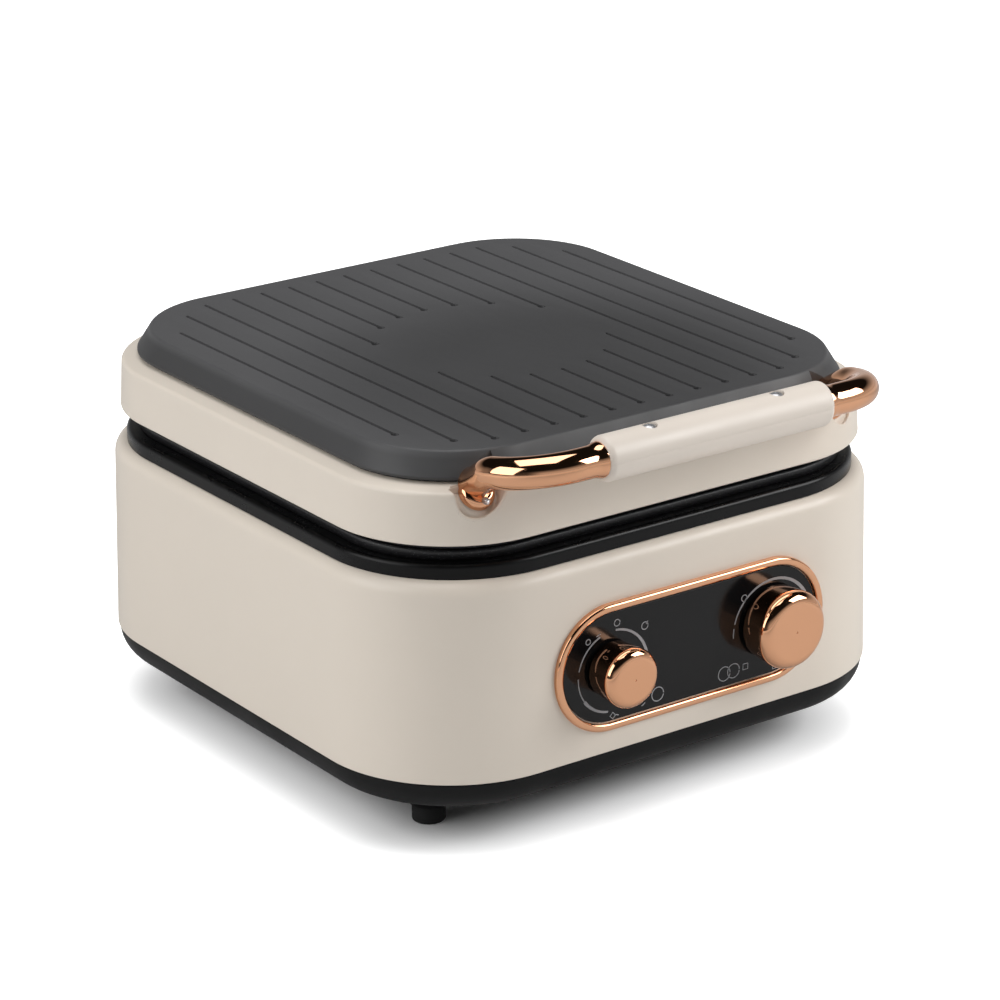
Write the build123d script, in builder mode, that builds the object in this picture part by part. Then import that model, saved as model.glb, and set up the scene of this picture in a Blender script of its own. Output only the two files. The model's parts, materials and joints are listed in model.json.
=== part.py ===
from build123d import *
from math import atan2, cos, degrees, hypot, radians, sin, sqrt, tan
import os

# A countertop sandwich maker: a cooking base, a lid on rear hinges and a tube handle with a grip.
# Millimetres, +Z up, the front faces -Y. The origin is the middle of the whole appliance on the table.

os.makedirs("parts", exist_ok=True)

# Casing outline and the main heights
body_width = 280.0
body_depth = 288.8
body_corner = 63.4
base_bottom = 36.0
parting_height = 137.5
shell_wall = 2.5
shell_draft_angle = 1.27
seat_clearance = 0.15
running_clearance = 0.05
press_clearance = 0.01
land_overlap = 4.0
land_border = 2.0
land_corner = 4.0

# Feet and bottom tray
foot_inset_x = 44.0
foot_inset_y = 54.4
foot_height = 8.5
foot_radius = 7.4
foot_edge = 1.0
foot_stud_radius = 3.0
foot_stud_length = 4.0
leg_radius = 8.6
leg_flare = 8.0
tray_depth = 14.7
tray_inset = 0.8
tray_edge = 13.5
tray_wall = 2.4
tray_tongue = 4.0
tray_tongue_wall = 2.0
vent_count = 5
vent_pitch = 14.0
vent_length = 46.0
vent_width = 3.2
vent_row_spacing = 76.0

# Base shell
base_edge = 6.5
base_opening_inset = 12.0
base_post_inset_x = 55.0
base_post_inset_y = 22.4
base_post_radius = 4.5
base_post_rib = 4.0
base_post_rise = 8.0
base_post_length = 28.0
base_post_bore = 20.0
tray_post_radius = 6.0

# Black rims and the step between base and lid
rim_inset = 6.0
rim_corner = 62.0
rim_height = 6.8
rim_edge = 2.2
rim_plate_clearance = 1.5
rim_skirt = 6.0
rim_skirt_wall = 2.2
upper_rim_height = 4.0
upper_rim_inset = 8.4

# Cooking plates
plate_gap = 0.6
plate_flange = 4.1
plate_inset = 13.0
plate_corner = 52.0
plate_edge = 1.2
plate_bottom_depth = 15.5
pocket_margin_x = 28.0
pocket_margin_y = 29.4
pocket_corner = 22.0
pocket_depth = 12.0
pocket_draft_angle = 18.0
pocket_web = 12.0
plate_side_wall = 3.5
ridge_width = 9.0
ridge_height = 4.0
ridge_draft_angle = 30.0
ridge_overrun = 3.0
plate_post_radius = 5.0

# Heating elements, clamps and heat shields
heater_radius = 3.3
heater_flat = 2.4
heater_front_inset = 34.0
heater_rear_inset = 16.0
heater_bend = 32.0
heater_pin_radius = 1.6
heater_pin_length = 8.0
clamp_overhang = 9.0
clamp_width = 14.0
clamp_thickness = 1.2
clamp_y = 30.0
shield_inset = 10.0
shield_corner = 32.0
shield_thickness = 0.8
shield_gap = 0.3
shield_post_inset = 20.0
cutout_radius = 9.0
cutout_height = 4.0
cutout_tab_length = 12.0
fuse_radius = 2.2
fuse_length = 16.0
fuse_y = -34.0

# Lid shell
lid_step = 4.4
lid_inset = 5.2
lid_corner = 58.4
lid_draft_angle = 3.1
lid_height = 23.0
lid_shoulder_edge = 2.2
lid_shoulder_rise = 2.0
lid_rim_inset = 15.9
lid_rim_corner = 50.0
lid_edge = 1.2
lid_roof = 2.0
lid_ledge_depth = 1.9
lid_opening_inset = 20.0
lid_opening_corner = 46.0
lid_post_inset = 14.0
lid_post_y = 44.0
lid_post_radius = 4.0
lid_post_bore = 11.0
lug_inset = 24.0
lug_y = 30.0
lug_radius = 5.5
lug_thickness = 2.5

# Lid cover
cover_gap = 1.2
cover_side = 1.2
cover_rise = 10.0
cover_inset = 13.5
cover_corner = 51.0
cover_top_inset = 18.6
cover_top_corner = 49.0
cover_edge = 1.6
cover_wall = 2.8
cover_spigot_wall = 2.9
cover_hollow_angle = 10.0
cover_post_radius = 4.0
cover_post_bore = 8.5
groove_margin = 31.85
groove_count = 15
groove_width = 1.6
groove_depth = 1.1
groove_front_inset = 27.4
groove_rear_inset = 29.4
groove_front_inset_second = 35.4
groove_rear_inset_second = 38.4
groove_front_inset_outer = 56.4
groove_rear_inset_outer = 58.4
groove_pit_radius = 1.6
groove_pit_depth = 1.6
bare_round_radius = 52.0
bare_round_y = -6.0

# Handle
grip_width = 19.0
grip_height = 20.0
grip_edge = 2.6
grip_reach = 19.8
grip_rise = 0.8
tube_radius = 7.0
tube_flare = 7.8
tube_flare_length = 5.0
spigot_radius = 5.5
spigot_length = 34.0
tube_elbow_inset = 47.4
tube_elbow_run = 32.6
tube_knee_spread = 4.0
tube_knee_reach = 5.7
tube_knee_drop = 5.1
tube_knee_bend = 12.0
tube_elbow_bend = 24.5
flange_spread = 3.8
flange_reach = 14.6
flange_drop = 2.2
flange_radius = 7.8
flange_thickness = 4.0
flange_lean_angle = 45.0
flange_tube_offset = 3.2
root_screw_offset = 5.9
root_screw_radius = 1.8
root_screw_head = 0.6
root_screw_shank = 0.9
root_screw_length = 3.0
scoop_shift = 1.4
scoop_radius = 11.3
scoop_reach = 30.0
scoop_depth = 20.2
scoop_wall = 2.4
grip_screw_inset = 26.0
grip_screw_cover = 0.15

# Fasteners
screw_head_radius = 3.0
screw_head_height = 2.0
screw_head_angle = 12.0
screw_shank_radius = 1.5
screw_hole_clearance = 0.2
screw_recess_radius = 3.5
screw_slot_length = 4.2
screw_slot_width = 0.9
screw_slot_depth = 0.8
tray_screw_bite = 16.0
shield_screw_length = 6.0
clamp_screw_length = 5.0
rim_screw_length = 12.0
cover_screw_length = 10.0
grip_screw_length = 14.0
wall_screw_bite = 4.0

# Control panel and knobs
panel_x = 6.0
panel_rise = 39.5
panel_recess = 1.8
panel_end_inset = 70.0
control_end_inset = 25.5
panel_half_height = 25.6
panel_thickness = 1.9
trim_width = 3.6
trim_height = 3.4
trim_edge = 1.3
selector_radius = 13.9
selector_edge = 4.2
temperature_radius = 18.4
temperature_edge = 5.2
knob_stand_off = 1.6
knob_depth = 16.5
knob_taper = 1.3
knob_back_edge = 0.4
knob_wall = 1.8
knob_hub_radius = 5.0
knob_hub_depth = 3.5
knob_bore_cover = 4.0
knob_dot_radius = 0.5
knob_dot_depth = 0.3
shaft_radius = 3.0
shaft_flat = 1.6
shaft_round_end = 1.0
bush_radius = 4.6
bush_stand_off = 3.0
nut_size = 12.0
nut_thickness = 2.2
control_recess = 5.2
control_pad_radius = 15.0
selector_body = 26.0
selector_body_corner = 2.0
selector_body_depth = 19.0
temperature_body_radius = 14.5
temperature_body_depth = 15.0
terminal_width = 6.3
terminal_thickness = 0.8
terminal_length = 9.0
terminal_pitch = 9.0

# Hinges
hinge_overhang = 5.6
hinge_drop = 3.5
hinge_inset_x = 65.0
hinge_ear_radius = 7.5
hinge_knuckle_length = 9.0
hinge_ear_length = 4.0
hinge_side_gap = 0.3
hinge_pin_radius = 2.5
hinge_pin_head = 4.0
hinge_pin_head_thickness = 1.4
hinge_plate_thickness = 3.0
hinge_plate_corner = 3.0
hinge_land_recess = 0.2
hinge_plate_width = 34.0
hinge_plate_height = 26.0
hinge_plate_drop = 12.3
hinge_screw_rise = 8.0
hinge_screw_spacing = 24.6
ear_root_drop = 8.0
ear_root_rise = 6.0
ear_neck = 1.2
ear_bite = 0.5
arm_land_recess = 4.9
arm_plate_rise = 4.6
arm_plate_height = 14.5
arm_plate_width = 26.0
arm_plate_corner = 2.0
arm_plate_border = 1.0
arm_screw_rise = 10.0
arm_screw_spacing = 18.0
arm_neck_front = 4.0
arm_neck_lift = 6.0
arm_neck_bite = 1.2
arm_neck_depth = 5.0
arm_neck_low = 3.0
arm_neck_high = 2.0
arm_neck_slope = 1.0
arm_neck_rear = 0.4

# Mains inlet at the rear
inlet_rise = 26.0
inlet_flange_width = 50.0
inlet_flange_height = 26.0
inlet_flange = 2.4
inlet_corner = 4.0
inlet_body_width = 29.0
inlet_body_height = 21.5
inlet_body_corner = 1.4
inlet_body_depth = 22.0
socket_width = 25.0
socket_height = 17.5
socket_corner = 3.0
socket_depth = 16.0
inlet_pin_width = 4.0
inlet_pin_thickness = 2.0
inlet_pin_length = 13.0
inlet_pin_root = 5.0
inlet_pin_pitch = 7.0
inlet_earth_rise = 4.0
inlet_screw_spacing = 40.0

# Heights that follow, from the table up
tray_bottom = base_bottom - tray_depth
tray_floor = tray_bottom + tray_wall
base_post_bottom = base_bottom + base_post_rise
panel_z = base_bottom + panel_rise
inlet_z = base_bottom + inlet_rise
lower_plate_top = parting_height - plate_gap / 2
plate_bottom = lower_plate_top - plate_bottom_depth
rim_top = lower_plate_top - plate_flange
base_top = rim_top - rim_height
upper_rim_bottom = 2 * parting_height - rim_top
pocket_floor = lower_plate_top - pocket_depth
heater_height = plate_bottom - heater_flat
heater_bottom = heater_height - heater_radius
shield_floor = heater_bottom - clamp_thickness - shield_gap
lid_bottom = parting_height + lid_step
lid_shoulder = lid_bottom + lid_height
lid_rim = lid_shoulder + lid_shoulder_rise
lid_ledge = lid_rim - lid_ledge_depth
cover_bottom = lid_rim + cover_gap
cover_slope_bottom = cover_bottom + cover_side
cover_top = cover_slope_bottom + cover_rise
cover_roof = cover_top - cover_wall
grip_z = cover_top + grip_rise
tube_knee_z = grip_z - tube_knee_drop
flange_z = lid_rim - flange_drop
hinge_z = parting_height - hinge_drop
hinge_plate_top = base_top - hinge_plate_drop
hinge_plate_bottom = hinge_plate_top - hinge_plate_height
hinge_plate_middle = (hinge_plate_bottom + hinge_plate_top) / 2
hinge_screw_z = hinge_plate_bottom + hinge_screw_rise
arm_plate_bottom = lid_bottom + arm_plate_rise
arm_plate_top = arm_plate_bottom + arm_plate_height
arm_plate_middle = (arm_plate_bottom + arm_plate_top) / 2
arm_screw_z = arm_plate_bottom + arm_screw_rise

# Places that follow, from the middle of the casing to its front, rear and sides
front_face = -body_depth / 2
rear_face = body_depth / 2
foot_spacing_x = body_width - 2 * foot_inset_x
foot_spacing_y = body_depth - 2 * foot_inset_y
base_post_x = body_width / 2 - base_post_inset_x
base_post_y = body_depth / 2 - base_post_inset_y
panel_seat = front_face + panel_recess
panel_half_length = body_width / 2 - panel_end_inset
control_spread = panel_half_length - control_end_inset
selector_x = panel_x - control_spread
temperature_x = panel_x + control_spread
knob_back = front_face - knob_stand_off
knob_front = knob_back - knob_depth
knob_hub_back = knob_back - knob_hub_depth
shaft_front = knob_front + knob_bore_cover
bush_front = front_face - bush_stand_off
control_seat = front_face + control_recess
hinge_x = body_width / 2 - hinge_inset_x
hinge_y = rear_face + hinge_overhang
hinge_land = rear_face - hinge_land_recess
arm_land = rear_face - arm_land_recess
inlet_seat = rear_face
lid_post_x = body_width / 2 - lid_post_inset
lug_x = body_width / 2 - lug_inset
groove_pitch = (body_width - 2 * groove_margin) / (groove_count - 1)
groove_front = body_depth / 2 - groove_front_inset
groove_rear = body_depth / 2 - groove_rear_inset
groove_front_second = body_depth / 2 - groove_front_inset_second
groove_rear_second = body_depth / 2 - groove_rear_inset_second
groove_front_outer = body_depth / 2 - groove_front_inset_outer
groove_rear_outer = body_depth / 2 - groove_rear_inset_outer
grip_y = front_face - grip_reach
tube_elbow_x = body_width / 2 - tube_elbow_inset
grip_length = 2 * (tube_elbow_x - tube_elbow_run)
grip_screw_x = grip_length / 2 - grip_screw_inset
tube_knee_x = tube_elbow_x + tube_knee_spread
tube_knee_y = front_face + tube_knee_reach
flange_x = tube_elbow_x + flange_spread
flange_y = front_face + flange_reach
scoop_x = flange_x + scoop_shift
scoop_back = front_face + scoop_depth
front_reach = -grip_y + grip_width / 2
rear_reach = hinge_y + hinge_ear_radius
body_y = (front_reach - rear_reach) / 2

# Sizes of the cooking plates that follow from the casing
pocket_width = body_width / 2 - pocket_margin_x - pocket_web / 2
pocket_length = body_depth / 2 - pocket_margin_y - pocket_web / 2
pocket_pitch_x = pocket_width + pocket_web
pocket_pitch_y = pocket_length + pocket_web
plate_body_width = pocket_pitch_x + pocket_width + 2 * plate_side_wall
plate_body_length = pocket_pitch_y + pocket_length + 2 * plate_side_wall
plate_body_corner = pocket_corner + plate_side_wall
shield_width = plate_body_width - 2 * shield_inset
shield_length = plate_body_length - 2 * shield_inset
plate_post_x = shield_width / 2 - shield_post_inset
plate_post_y = shield_length / 2 - shield_post_inset
heater_reach_x = pocket_pitch_x / 2
heater_front = shield_length / 2 - heater_front_inset
heater_rear = shield_length / 2 - heater_rear_inset
clamp_length = 2 * (heater_reach_x + clamp_overhang)
lid_shoulder_inset = lid_height * tan(radians(lid_draft_angle))
grip_screw_seat = grip_z + grip_height / 2 - screw_head_height - grip_screw_cover


def level(height):
    """A horizontal plane at a height, centred on the casing."""
    return Plane(origin=(0, body_y, height))


def front_plane(y):
    """An upright plane that faces the front, with X to the right and Z up."""
    return Plane(origin=(0, body_y + y, 0), x_dir=(1, 0, 0), z_dir=(0, -1, 0))


def rear_plane(y):
    """An upright plane that faces the rear, with -X to the right and Z up."""
    return Plane(origin=(0, body_y + y, 0), x_dir=(-1, 0, 0), z_dir=(0, 1, 0))


def side_plane(x):
    """An upright plane that faces the right side, with Y to the right and Z up."""
    return Plane(origin=(x, body_y, 0), x_dir=(0, 1, 0), z_dir=(1, 0, 0))


def outline(inset, corner, mode=Mode.ADD):
    """The casing's rounded rectangle, smaller by the inset on every side."""
    return RectangleRounded(body_width - 2 * inset, body_depth - 2 * inset, corner, mode=mode)


def plate_opening():
    """The opening for a cooking plate's body, cut from the sketch being drawn."""
    width = plate_body_width + 2 * rim_plate_clearance
    length = plate_body_length + 2 * rim_plate_clearance
    return RectangleRounded(width, length, plate_body_corner + rim_plate_clearance, mode=Mode.SUBTRACT)


def screw_group(plane, points, length, slotted=False):
    """Pan head screws at some points of a plane: heads above it and shanks below it."""
    with BuildPart() as group:
        with BuildSketch(plane):
            with Locations(*points):
                Circle(screw_head_radius)
        extrude(amount=screw_head_height, taper=screw_head_angle)
        with BuildSketch(plane):
            with Locations(*points):
                Circle(screw_shank_radius)
        extrude(amount=-length)
        if slotted:
            with BuildSketch(plane.offset(screw_head_height)):
                with Locations(*points):
                    Rectangle(screw_slot_length, screw_slot_width)
                    Rectangle(screw_slot_width, screw_slot_length)
            extrude(amount=-screw_slot_depth, mode=Mode.SUBTRACT)
    return group


# Rubber feet: pads with a stud that presses into the legs
with BuildPart() as rubber_feet:
    with BuildSketch(level(0)):
        with GridLocations(foot_spacing_x, foot_spacing_y, 2, 2):
            Circle(foot_radius)
    extrude(amount=foot_height)
    fillet(rubber_feet.edges().group_by(Axis.Z)[0], radius=foot_edge)
    with BuildSketch(level(foot_height)):
        with GridLocations(foot_spacing_x, foot_spacing_y, 2, 2):
            Circle(foot_stud_radius)
    extrude(amount=foot_stud_length)

# Bottom tray: a dished floor on four moulded legs, with a tongue that enters the base shell
base_post_points = [(x, y) for x in (-base_post_x, base_post_x) for y in (-base_post_y, base_post_y)]
with BuildPart() as bottom_tray:
    with BuildSketch(level(tray_bottom)):
        outline(tray_inset, body_corner - tray_inset)
    extrude(amount=tray_depth)
    fillet(bottom_tray.faces().sort_by(Axis.Z)[0].edges(), radius=tray_edge)
    offset(amount=-tray_wall, openings=bottom_tray.faces().sort_by(Axis.Z)[-1])
    with BuildSketch(level(base_bottom - tray_tongue)):
        outline(shell_wall + seat_clearance, body_corner - shell_wall)
        tongue_inner = shell_wall + seat_clearance + tray_tongue_wall
        outline(tongue_inner, body_corner - tongue_inner, mode=Mode.SUBTRACT)
    extrude(amount=2 * tray_tongue)
    with BuildSketch(level(foot_height)):
        with GridLocations(foot_spacing_x, foot_spacing_y, 2, 2):
            Circle(leg_radius)
    extrude(amount=tray_floor - tray_wall / 2 - foot_height, taper=-leg_flare)
    with BuildSketch(level(foot_height)):
        with GridLocations(foot_spacing_x, foot_spacing_y, 2, 2):
            Circle(foot_stud_radius + running_clearance)
    extrude(amount=foot_stud_length + seat_clearance, mode=Mode.SUBTRACT)
    with BuildSketch(level(tray_floor - tray_wall / 2)):
        with Locations(*base_post_points):
            Circle(tray_post_radius)
    extrude(amount=base_post_bottom - tray_floor + tray_wall / 2)
    with BuildSketch(level(tray_bottom)):
        with Locations(*base_post_points):
            Circle(screw_recess_radius)
    extrude(amount=base_post_bottom - tray_bottom - tray_wall, mode=Mode.SUBTRACT)
    with BuildSketch(level(tray_bottom)):
        with Locations(*base_post_points):
            Circle(screw_shank_radius + screw_hole_clearance)
    extrude(amount=base_post_bottom - tray_bottom, mode=Mode.SUBTRACT)
    with BuildSketch(level(tray_bottom)):
        with GridLocations(vent_pitch, vent_row_spacing, vent_count, 2):
            SlotOverall(vent_length, vent_width, rotation=90)
    extrude(amount=tray_wall, mode=Mode.SUBTRACT)

tray_screw_plane = level(base_post_bottom - tray_wall).rotated((180, 0, 0))
tray_screws = screw_group(tray_screw_plane, base_post_points, tray_wall + tray_screw_bite)

# Base shell: a drafted ring wall with a soft top edge, posts, pads for the controls and rear lands
control_points = [(selector_x, panel_z), (temperature_x, panel_z)]
base_rise = base_top - base_bottom
with BuildPart() as base_cavity:
    with BuildSketch(level(base_bottom)):
        outline(shell_wall, body_corner - shell_wall)
    extrude(amount=base_rise - shell_wall, taper=shell_draft_angle)
    fillet(base_cavity.faces().sort_by(Axis.Z)[-1].edges(), radius=base_edge - shell_wall)
    with BuildSketch(front_plane(control_seat)):
        with Locations(*control_points):
            Circle(control_pad_radius)
    extrude(amount=shell_wall + land_overlap, mode=Mode.SUBTRACT)
with BuildPart() as base_shell:
    with BuildSketch(level(base_bottom)):
        outline(0, body_corner)
    extrude(amount=base_rise, taper=shell_draft_angle)
    fillet(base_shell.faces().sort_by(Axis.Z)[-1].edges(), radius=base_edge)
    for land_x in (-hinge_x, hinge_x):
        with BuildSketch(rear_plane(hinge_land)):
            with Locations((-land_x, hinge_plate_middle)):
                RectangleRounded(
                    hinge_plate_width + 2 * land_border, hinge_plate_height + 2 * land_border, land_corner
                )
        extrude(amount=-land_overlap)
    with BuildSketch(rear_plane(inlet_seat)):
        with Locations((0, inlet_z)):
            RectangleRounded(
                inlet_flange_width + 2 * land_border,
                inlet_flange_height + 2 * land_border,
                inlet_corner + land_border,
            )
    extrude(amount=-land_overlap)
    add(base_cavity.part, mode=Mode.SUBTRACT)
    with BuildSketch(level(base_top)):
        outline(base_opening_inset, body_corner - base_opening_inset)
    extrude(amount=-2 * shell_wall, mode=Mode.SUBTRACT)
    with BuildSketch(level(base_post_bottom)):
        with Locations(*base_post_points):
            Circle(base_post_radius)
        for rib_y in (-1, 1):
            rib_end = body_depth / 2 - shell_wall - seat_clearance
            with GridLocations(2 * base_post_x, 1, 2, 1):
                with Locations((0, rib_y * (base_post_y + rib_end) / 2)):
                    Rectangle(base_post_rib, rib_end - base_post_y)
    extrude(amount=base_post_length)
    with BuildSketch(level(base_post_bottom)):
        with Locations(*base_post_points):
            Circle(screw_shank_radius)
    extrude(amount=base_post_bore, mode=Mode.SUBTRACT)
    with BuildSketch(front_plane(panel_seat)):
        with Locations((panel_x, panel_z)):
            SlotOverall(
                2 * (panel_half_length + trim_width + seat_clearance),
                2 * (panel_half_height + trim_width + seat_clearance),
            )
    extrude(amount=land_overlap, mode=Mode.SUBTRACT)
    with BuildSketch(front_plane(panel_seat)):
        with Locations(*control_points):
            Circle(bush_radius + seat_clearance)
    extrude(amount=-2 * land_overlap, mode=Mode.SUBTRACT)
    with BuildSketch(rear_plane(inlet_seat)):
        with Locations((0, inlet_z)):
            RectangleRounded(
                inlet_body_width + 2 * seat_clearance,
                inlet_body_height + 2 * seat_clearance,
                inlet_body_corner + seat_clearance,
            )
    extrude(amount=-2 * land_overlap, mode=Mode.SUBTRACT)
    with BuildSketch(rear_plane(inlet_seat)):
        with Locations((-inlet_screw_spacing / 2, inlet_z), (inlet_screw_spacing / 2, inlet_z)):
            Circle(screw_shank_radius)
    extrude(amount=-2 * land_overlap, mode=Mode.SUBTRACT)
    hinge_screw_points = [
        (side * hinge_x + spread * hinge_screw_spacing / 2, hinge_screw_z)
        for side in (-1, 1)
        for spread in (-1, 1)
    ]
    with BuildSketch(rear_plane(hinge_land)):
        with Locations(*hinge_screw_points):
            Circle(screw_shank_radius)
    extrude(amount=-2 * land_overlap, mode=Mode.SUBTRACT)

# Lower rim: the black lip between base and lid, with a skirt that locates in the base
with BuildPart() as lower_rim:
    with BuildSketch(level(base_top)):
        outline(rim_inset, rim_corner)
        plate_opening()
    extrude(amount=rim_height)
    fillet(lower_rim.faces().sort_by(Axis.Z)[-1].outer_wire().edges(), radius=rim_edge)
    skirt_inset = base_opening_inset + seat_clearance
    with BuildSketch(level(base_top)):
        outline(skirt_inset, body_corner - skirt_inset)
        skirt_inner = skirt_inset + rim_skirt_wall
        outline(skirt_inner, body_corner - skirt_inner, mode=Mode.SUBTRACT)
    extrude(amount=-rim_skirt)

# Cooking plate: four tapered pockets, each with a low diagonal ridge, posts for clamp and shield below
plate_post_points = [(x, y) for x in (-plate_post_x, plate_post_x) for y in (-plate_post_y, plate_post_y)]
ridge_angle = degrees(atan2(pocket_length, pocket_width))
ridge_length = hypot(pocket_width, pocket_length) - 2 * pocket_corner * (sqrt(2) - 1) + ridge_overrun
with BuildPart() as lower_plate:
    with BuildSketch(level(rim_top)):
        outline(plate_inset, plate_corner)
    extrude(amount=plate_flange)
    fillet(lower_plate.faces().sort_by(Axis.Z)[-1].edges(), radius=plate_edge)
    with BuildSketch(level(plate_bottom)):
        RectangleRounded(plate_body_width, plate_body_length, plate_body_corner)
    extrude(amount=rim_top - plate_bottom)
    with BuildSketch(level(lower_plate_top)):
        with GridLocations(pocket_pitch_x, pocket_pitch_y, 2, 2):
            RectangleRounded(pocket_width, pocket_length, pocket_corner)
    extrude(amount=-pocket_depth, taper=pocket_draft_angle, mode=Mode.SUBTRACT)
    for ridge_x in (-1, 1):
        for ridge_y in (-1, 1):
            with BuildSketch(level(pocket_floor)):
                with Locations((ridge_x * pocket_pitch_x / 2, ridge_y * pocket_pitch_y / 2)):
                    Rectangle(ridge_length, ridge_width, rotation=ridge_x * ridge_y * ridge_angle)
            extrude(amount=ridge_height, taper=ridge_draft_angle)
    with BuildSketch(level(shield_floor)):
        with Locations(*plate_post_points):
            Circle(plate_post_radius)
    extrude(amount=plate_bottom - shield_floor)
    with BuildSketch(level(heater_bottom)):
        with Locations((0, clamp_y)):
            Circle(plate_post_radius)
    extrude(amount=plate_bottom - heater_bottom)
    with BuildSketch(level(shield_floor)):
        with Locations((0, clamp_y), *plate_post_points):
            Circle(screw_shank_radius)
    extrude(amount=plate_bottom - shield_floor, mode=Mode.SUBTRACT)

# Heating element: a tube bent to a U, flat where it presses on the plate, with its two terminal pins
with BuildPart() as lower_heater:
    with BuildLine(level(heater_height)) as heater_route:
        FilletPolyline(
            (-heater_reach_x, heater_rear),
            (-heater_reach_x, -heater_front),
            (heater_reach_x, -heater_front),
            (heater_reach_x, heater_rear),
            radius=heater_bend,
        )
    heater_start = Plane(origin=heater_route.line @ 0, x_dir=(1, 0, 0), z_dir=(0, -1, 0))
    with BuildSketch(heater_start):
        Circle(heater_radius)
        with Locations((0, heater_flat)):
            Rectangle(
                2 * heater_radius, heater_radius, align=(Align.CENTER, Align.MIN), mode=Mode.SUBTRACT
            )
    sweep(path=heater_route.line)
    with BuildSketch(rear_plane(heater_rear)):
        with Locations((-heater_reach_x, heater_height), (heater_reach_x, heater_height)):
            Circle(heater_pin_radius)
    extrude(amount=heater_pin_length)

with BuildPart() as lower_heater_clamp:
    with BuildSketch(level(heater_bottom)):
        with Locations((0, clamp_y)):
            Rectangle(clamp_length, clamp_width)
            Circle(screw_shank_radius + screw_hole_clearance, mode=Mode.SUBTRACT)
    extrude(amount=-clamp_thickness)

# Heat shield: a folded pan under the element, open over the clamp's screw
with BuildPart() as lower_heat_shield:
    with BuildSketch(level(shield_floor - shield_thickness)):
        RectangleRounded(shield_width, shield_length, shield_corner)
    extrude(amount=plate_bottom - shield_floor + shield_thickness)
    with BuildSketch(level(shield_floor)):
        RectangleRounded(
            shield_width - 2 * shield_thickness,
            shield_length - 2 * shield_thickness,
            shield_corner - shield_thickness,
        )
    extrude(amount=plate_bottom - shield_floor, mode=Mode.SUBTRACT)
    with BuildSketch(level(shield_floor)):
        with Locations(*plate_post_points):
            Circle(screw_shank_radius + screw_hole_clearance)
        with Locations((0, clamp_y)):
            Circle(2 * screw_head_radius)
    extrude(amount=-shield_thickness, mode=Mode.SUBTRACT)
    with BuildSketch(rear_plane(shield_length / 2)):
        with Locations((-heater_reach_x, heater_height), (heater_reach_x, heater_height)):
            Circle(2 * heater_pin_radius)
    extrude(amount=-2 * shield_thickness, mode=Mode.SUBTRACT)

shield_screw_plane = level(shield_floor - shield_thickness).rotated((180, 0, 0))
lower_shield_screws = screw_group(shield_screw_plane, plate_post_points, shield_screw_length)
clamp_screw_plane = level(heater_bottom - clamp_thickness).rotated((180, 0, 0))
lower_clamp_screw = screw_group(clamp_screw_plane, [(0, -clamp_y)], clamp_screw_length)

# Thermal cut-out and fuse under the lower plate
with BuildPart() as thermal_cutout:
    with BuildSketch(level(plate_bottom)):
        Circle(cutout_radius)
    extrude(amount=-cutout_height)
    with BuildSketch(level(plate_bottom - cutout_height / 2)):
        with GridLocations(2 * cutout_radius, 1, 2, 1):
            Rectangle(cutout_tab_length, terminal_width)
    extrude(amount=-terminal_thickness)
with BuildPart() as thermal_fuse:
    with BuildSketch(side_plane(0)):
        with Locations((fuse_y, plate_bottom - fuse_radius)):
            Circle(fuse_radius)
            Rectangle(2 * fuse_radius, fuse_radius, align=(Align.CENTER, Align.MIN))
    extrude(amount=fuse_length / 2, both=True)

# The upper plate and its heating parts are the lower ones turned over about the parting plane
parting_plane = Plane.XY.offset(parting_height)
with BuildPart() as upper_plate:
    mirror(lower_plate.part, about=parting_plane)
with BuildPart() as upper_heater:
    mirror(lower_heater.part, about=parting_plane)
with BuildPart() as upper_heater_clamp:
    mirror(lower_heater_clamp.part, about=parting_plane)
with BuildPart() as upper_heat_shield:
    mirror(lower_heat_shield.part, about=parting_plane)
with BuildPart() as upper_shield_screws:
    mirror(lower_shield_screws.part, about=parting_plane)
with BuildPart() as upper_clamp_screw:
    mirror(lower_clamp_screw.part, about=parting_plane)

# Upper rim: the flat ring that closes the lid and carries the upper plate
lid_post_points = [(x, y) for x in (-lid_post_x, lid_post_x) for y in (-lid_post_y, lid_post_y)]
with BuildPart() as upper_rim:
    with BuildSketch(level(upper_rim_bottom)):
        outline(upper_rim_inset, body_corner - upper_rim_inset)
        plate_opening()
        with Locations(*lid_post_points):
            Circle(screw_shank_radius + screw_hole_clearance, mode=Mode.SUBTRACT)
    extrude(amount=upper_rim_height)
    with BuildSketch(level(upper_rim_bottom)):
        with Locations(*lid_post_points):
            Circle(screw_recess_radius)
    extrude(amount=screw_head_height, mode=Mode.SUBTRACT)
rim_screw_plane = level(upper_rim_bottom + screw_head_height).rotated((180, 0, 0))
upper_rim_screws = screw_group(rim_screw_plane, lid_post_points, rim_screw_length)


flange_rise = Vector(0, -sin(radians(flange_lean_angle)), cos(radians(flange_lean_angle)))
flange_fall = Vector(0, -cos(radians(flange_lean_angle)), -sin(radians(flange_lean_angle)))


def flange_plane(side, fall=0.0, rise=0.0, x=flange_x):
    """A plane on a handle flange's top, moved down its slope or off its face."""
    centre = Vector(side * x, body_y + flange_y, flange_z)
    return Plane(origin=centre + flange_fall * fall + flange_rise * rise, x_dir=(1, 0, 0), z_dir=flange_rise)


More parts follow.
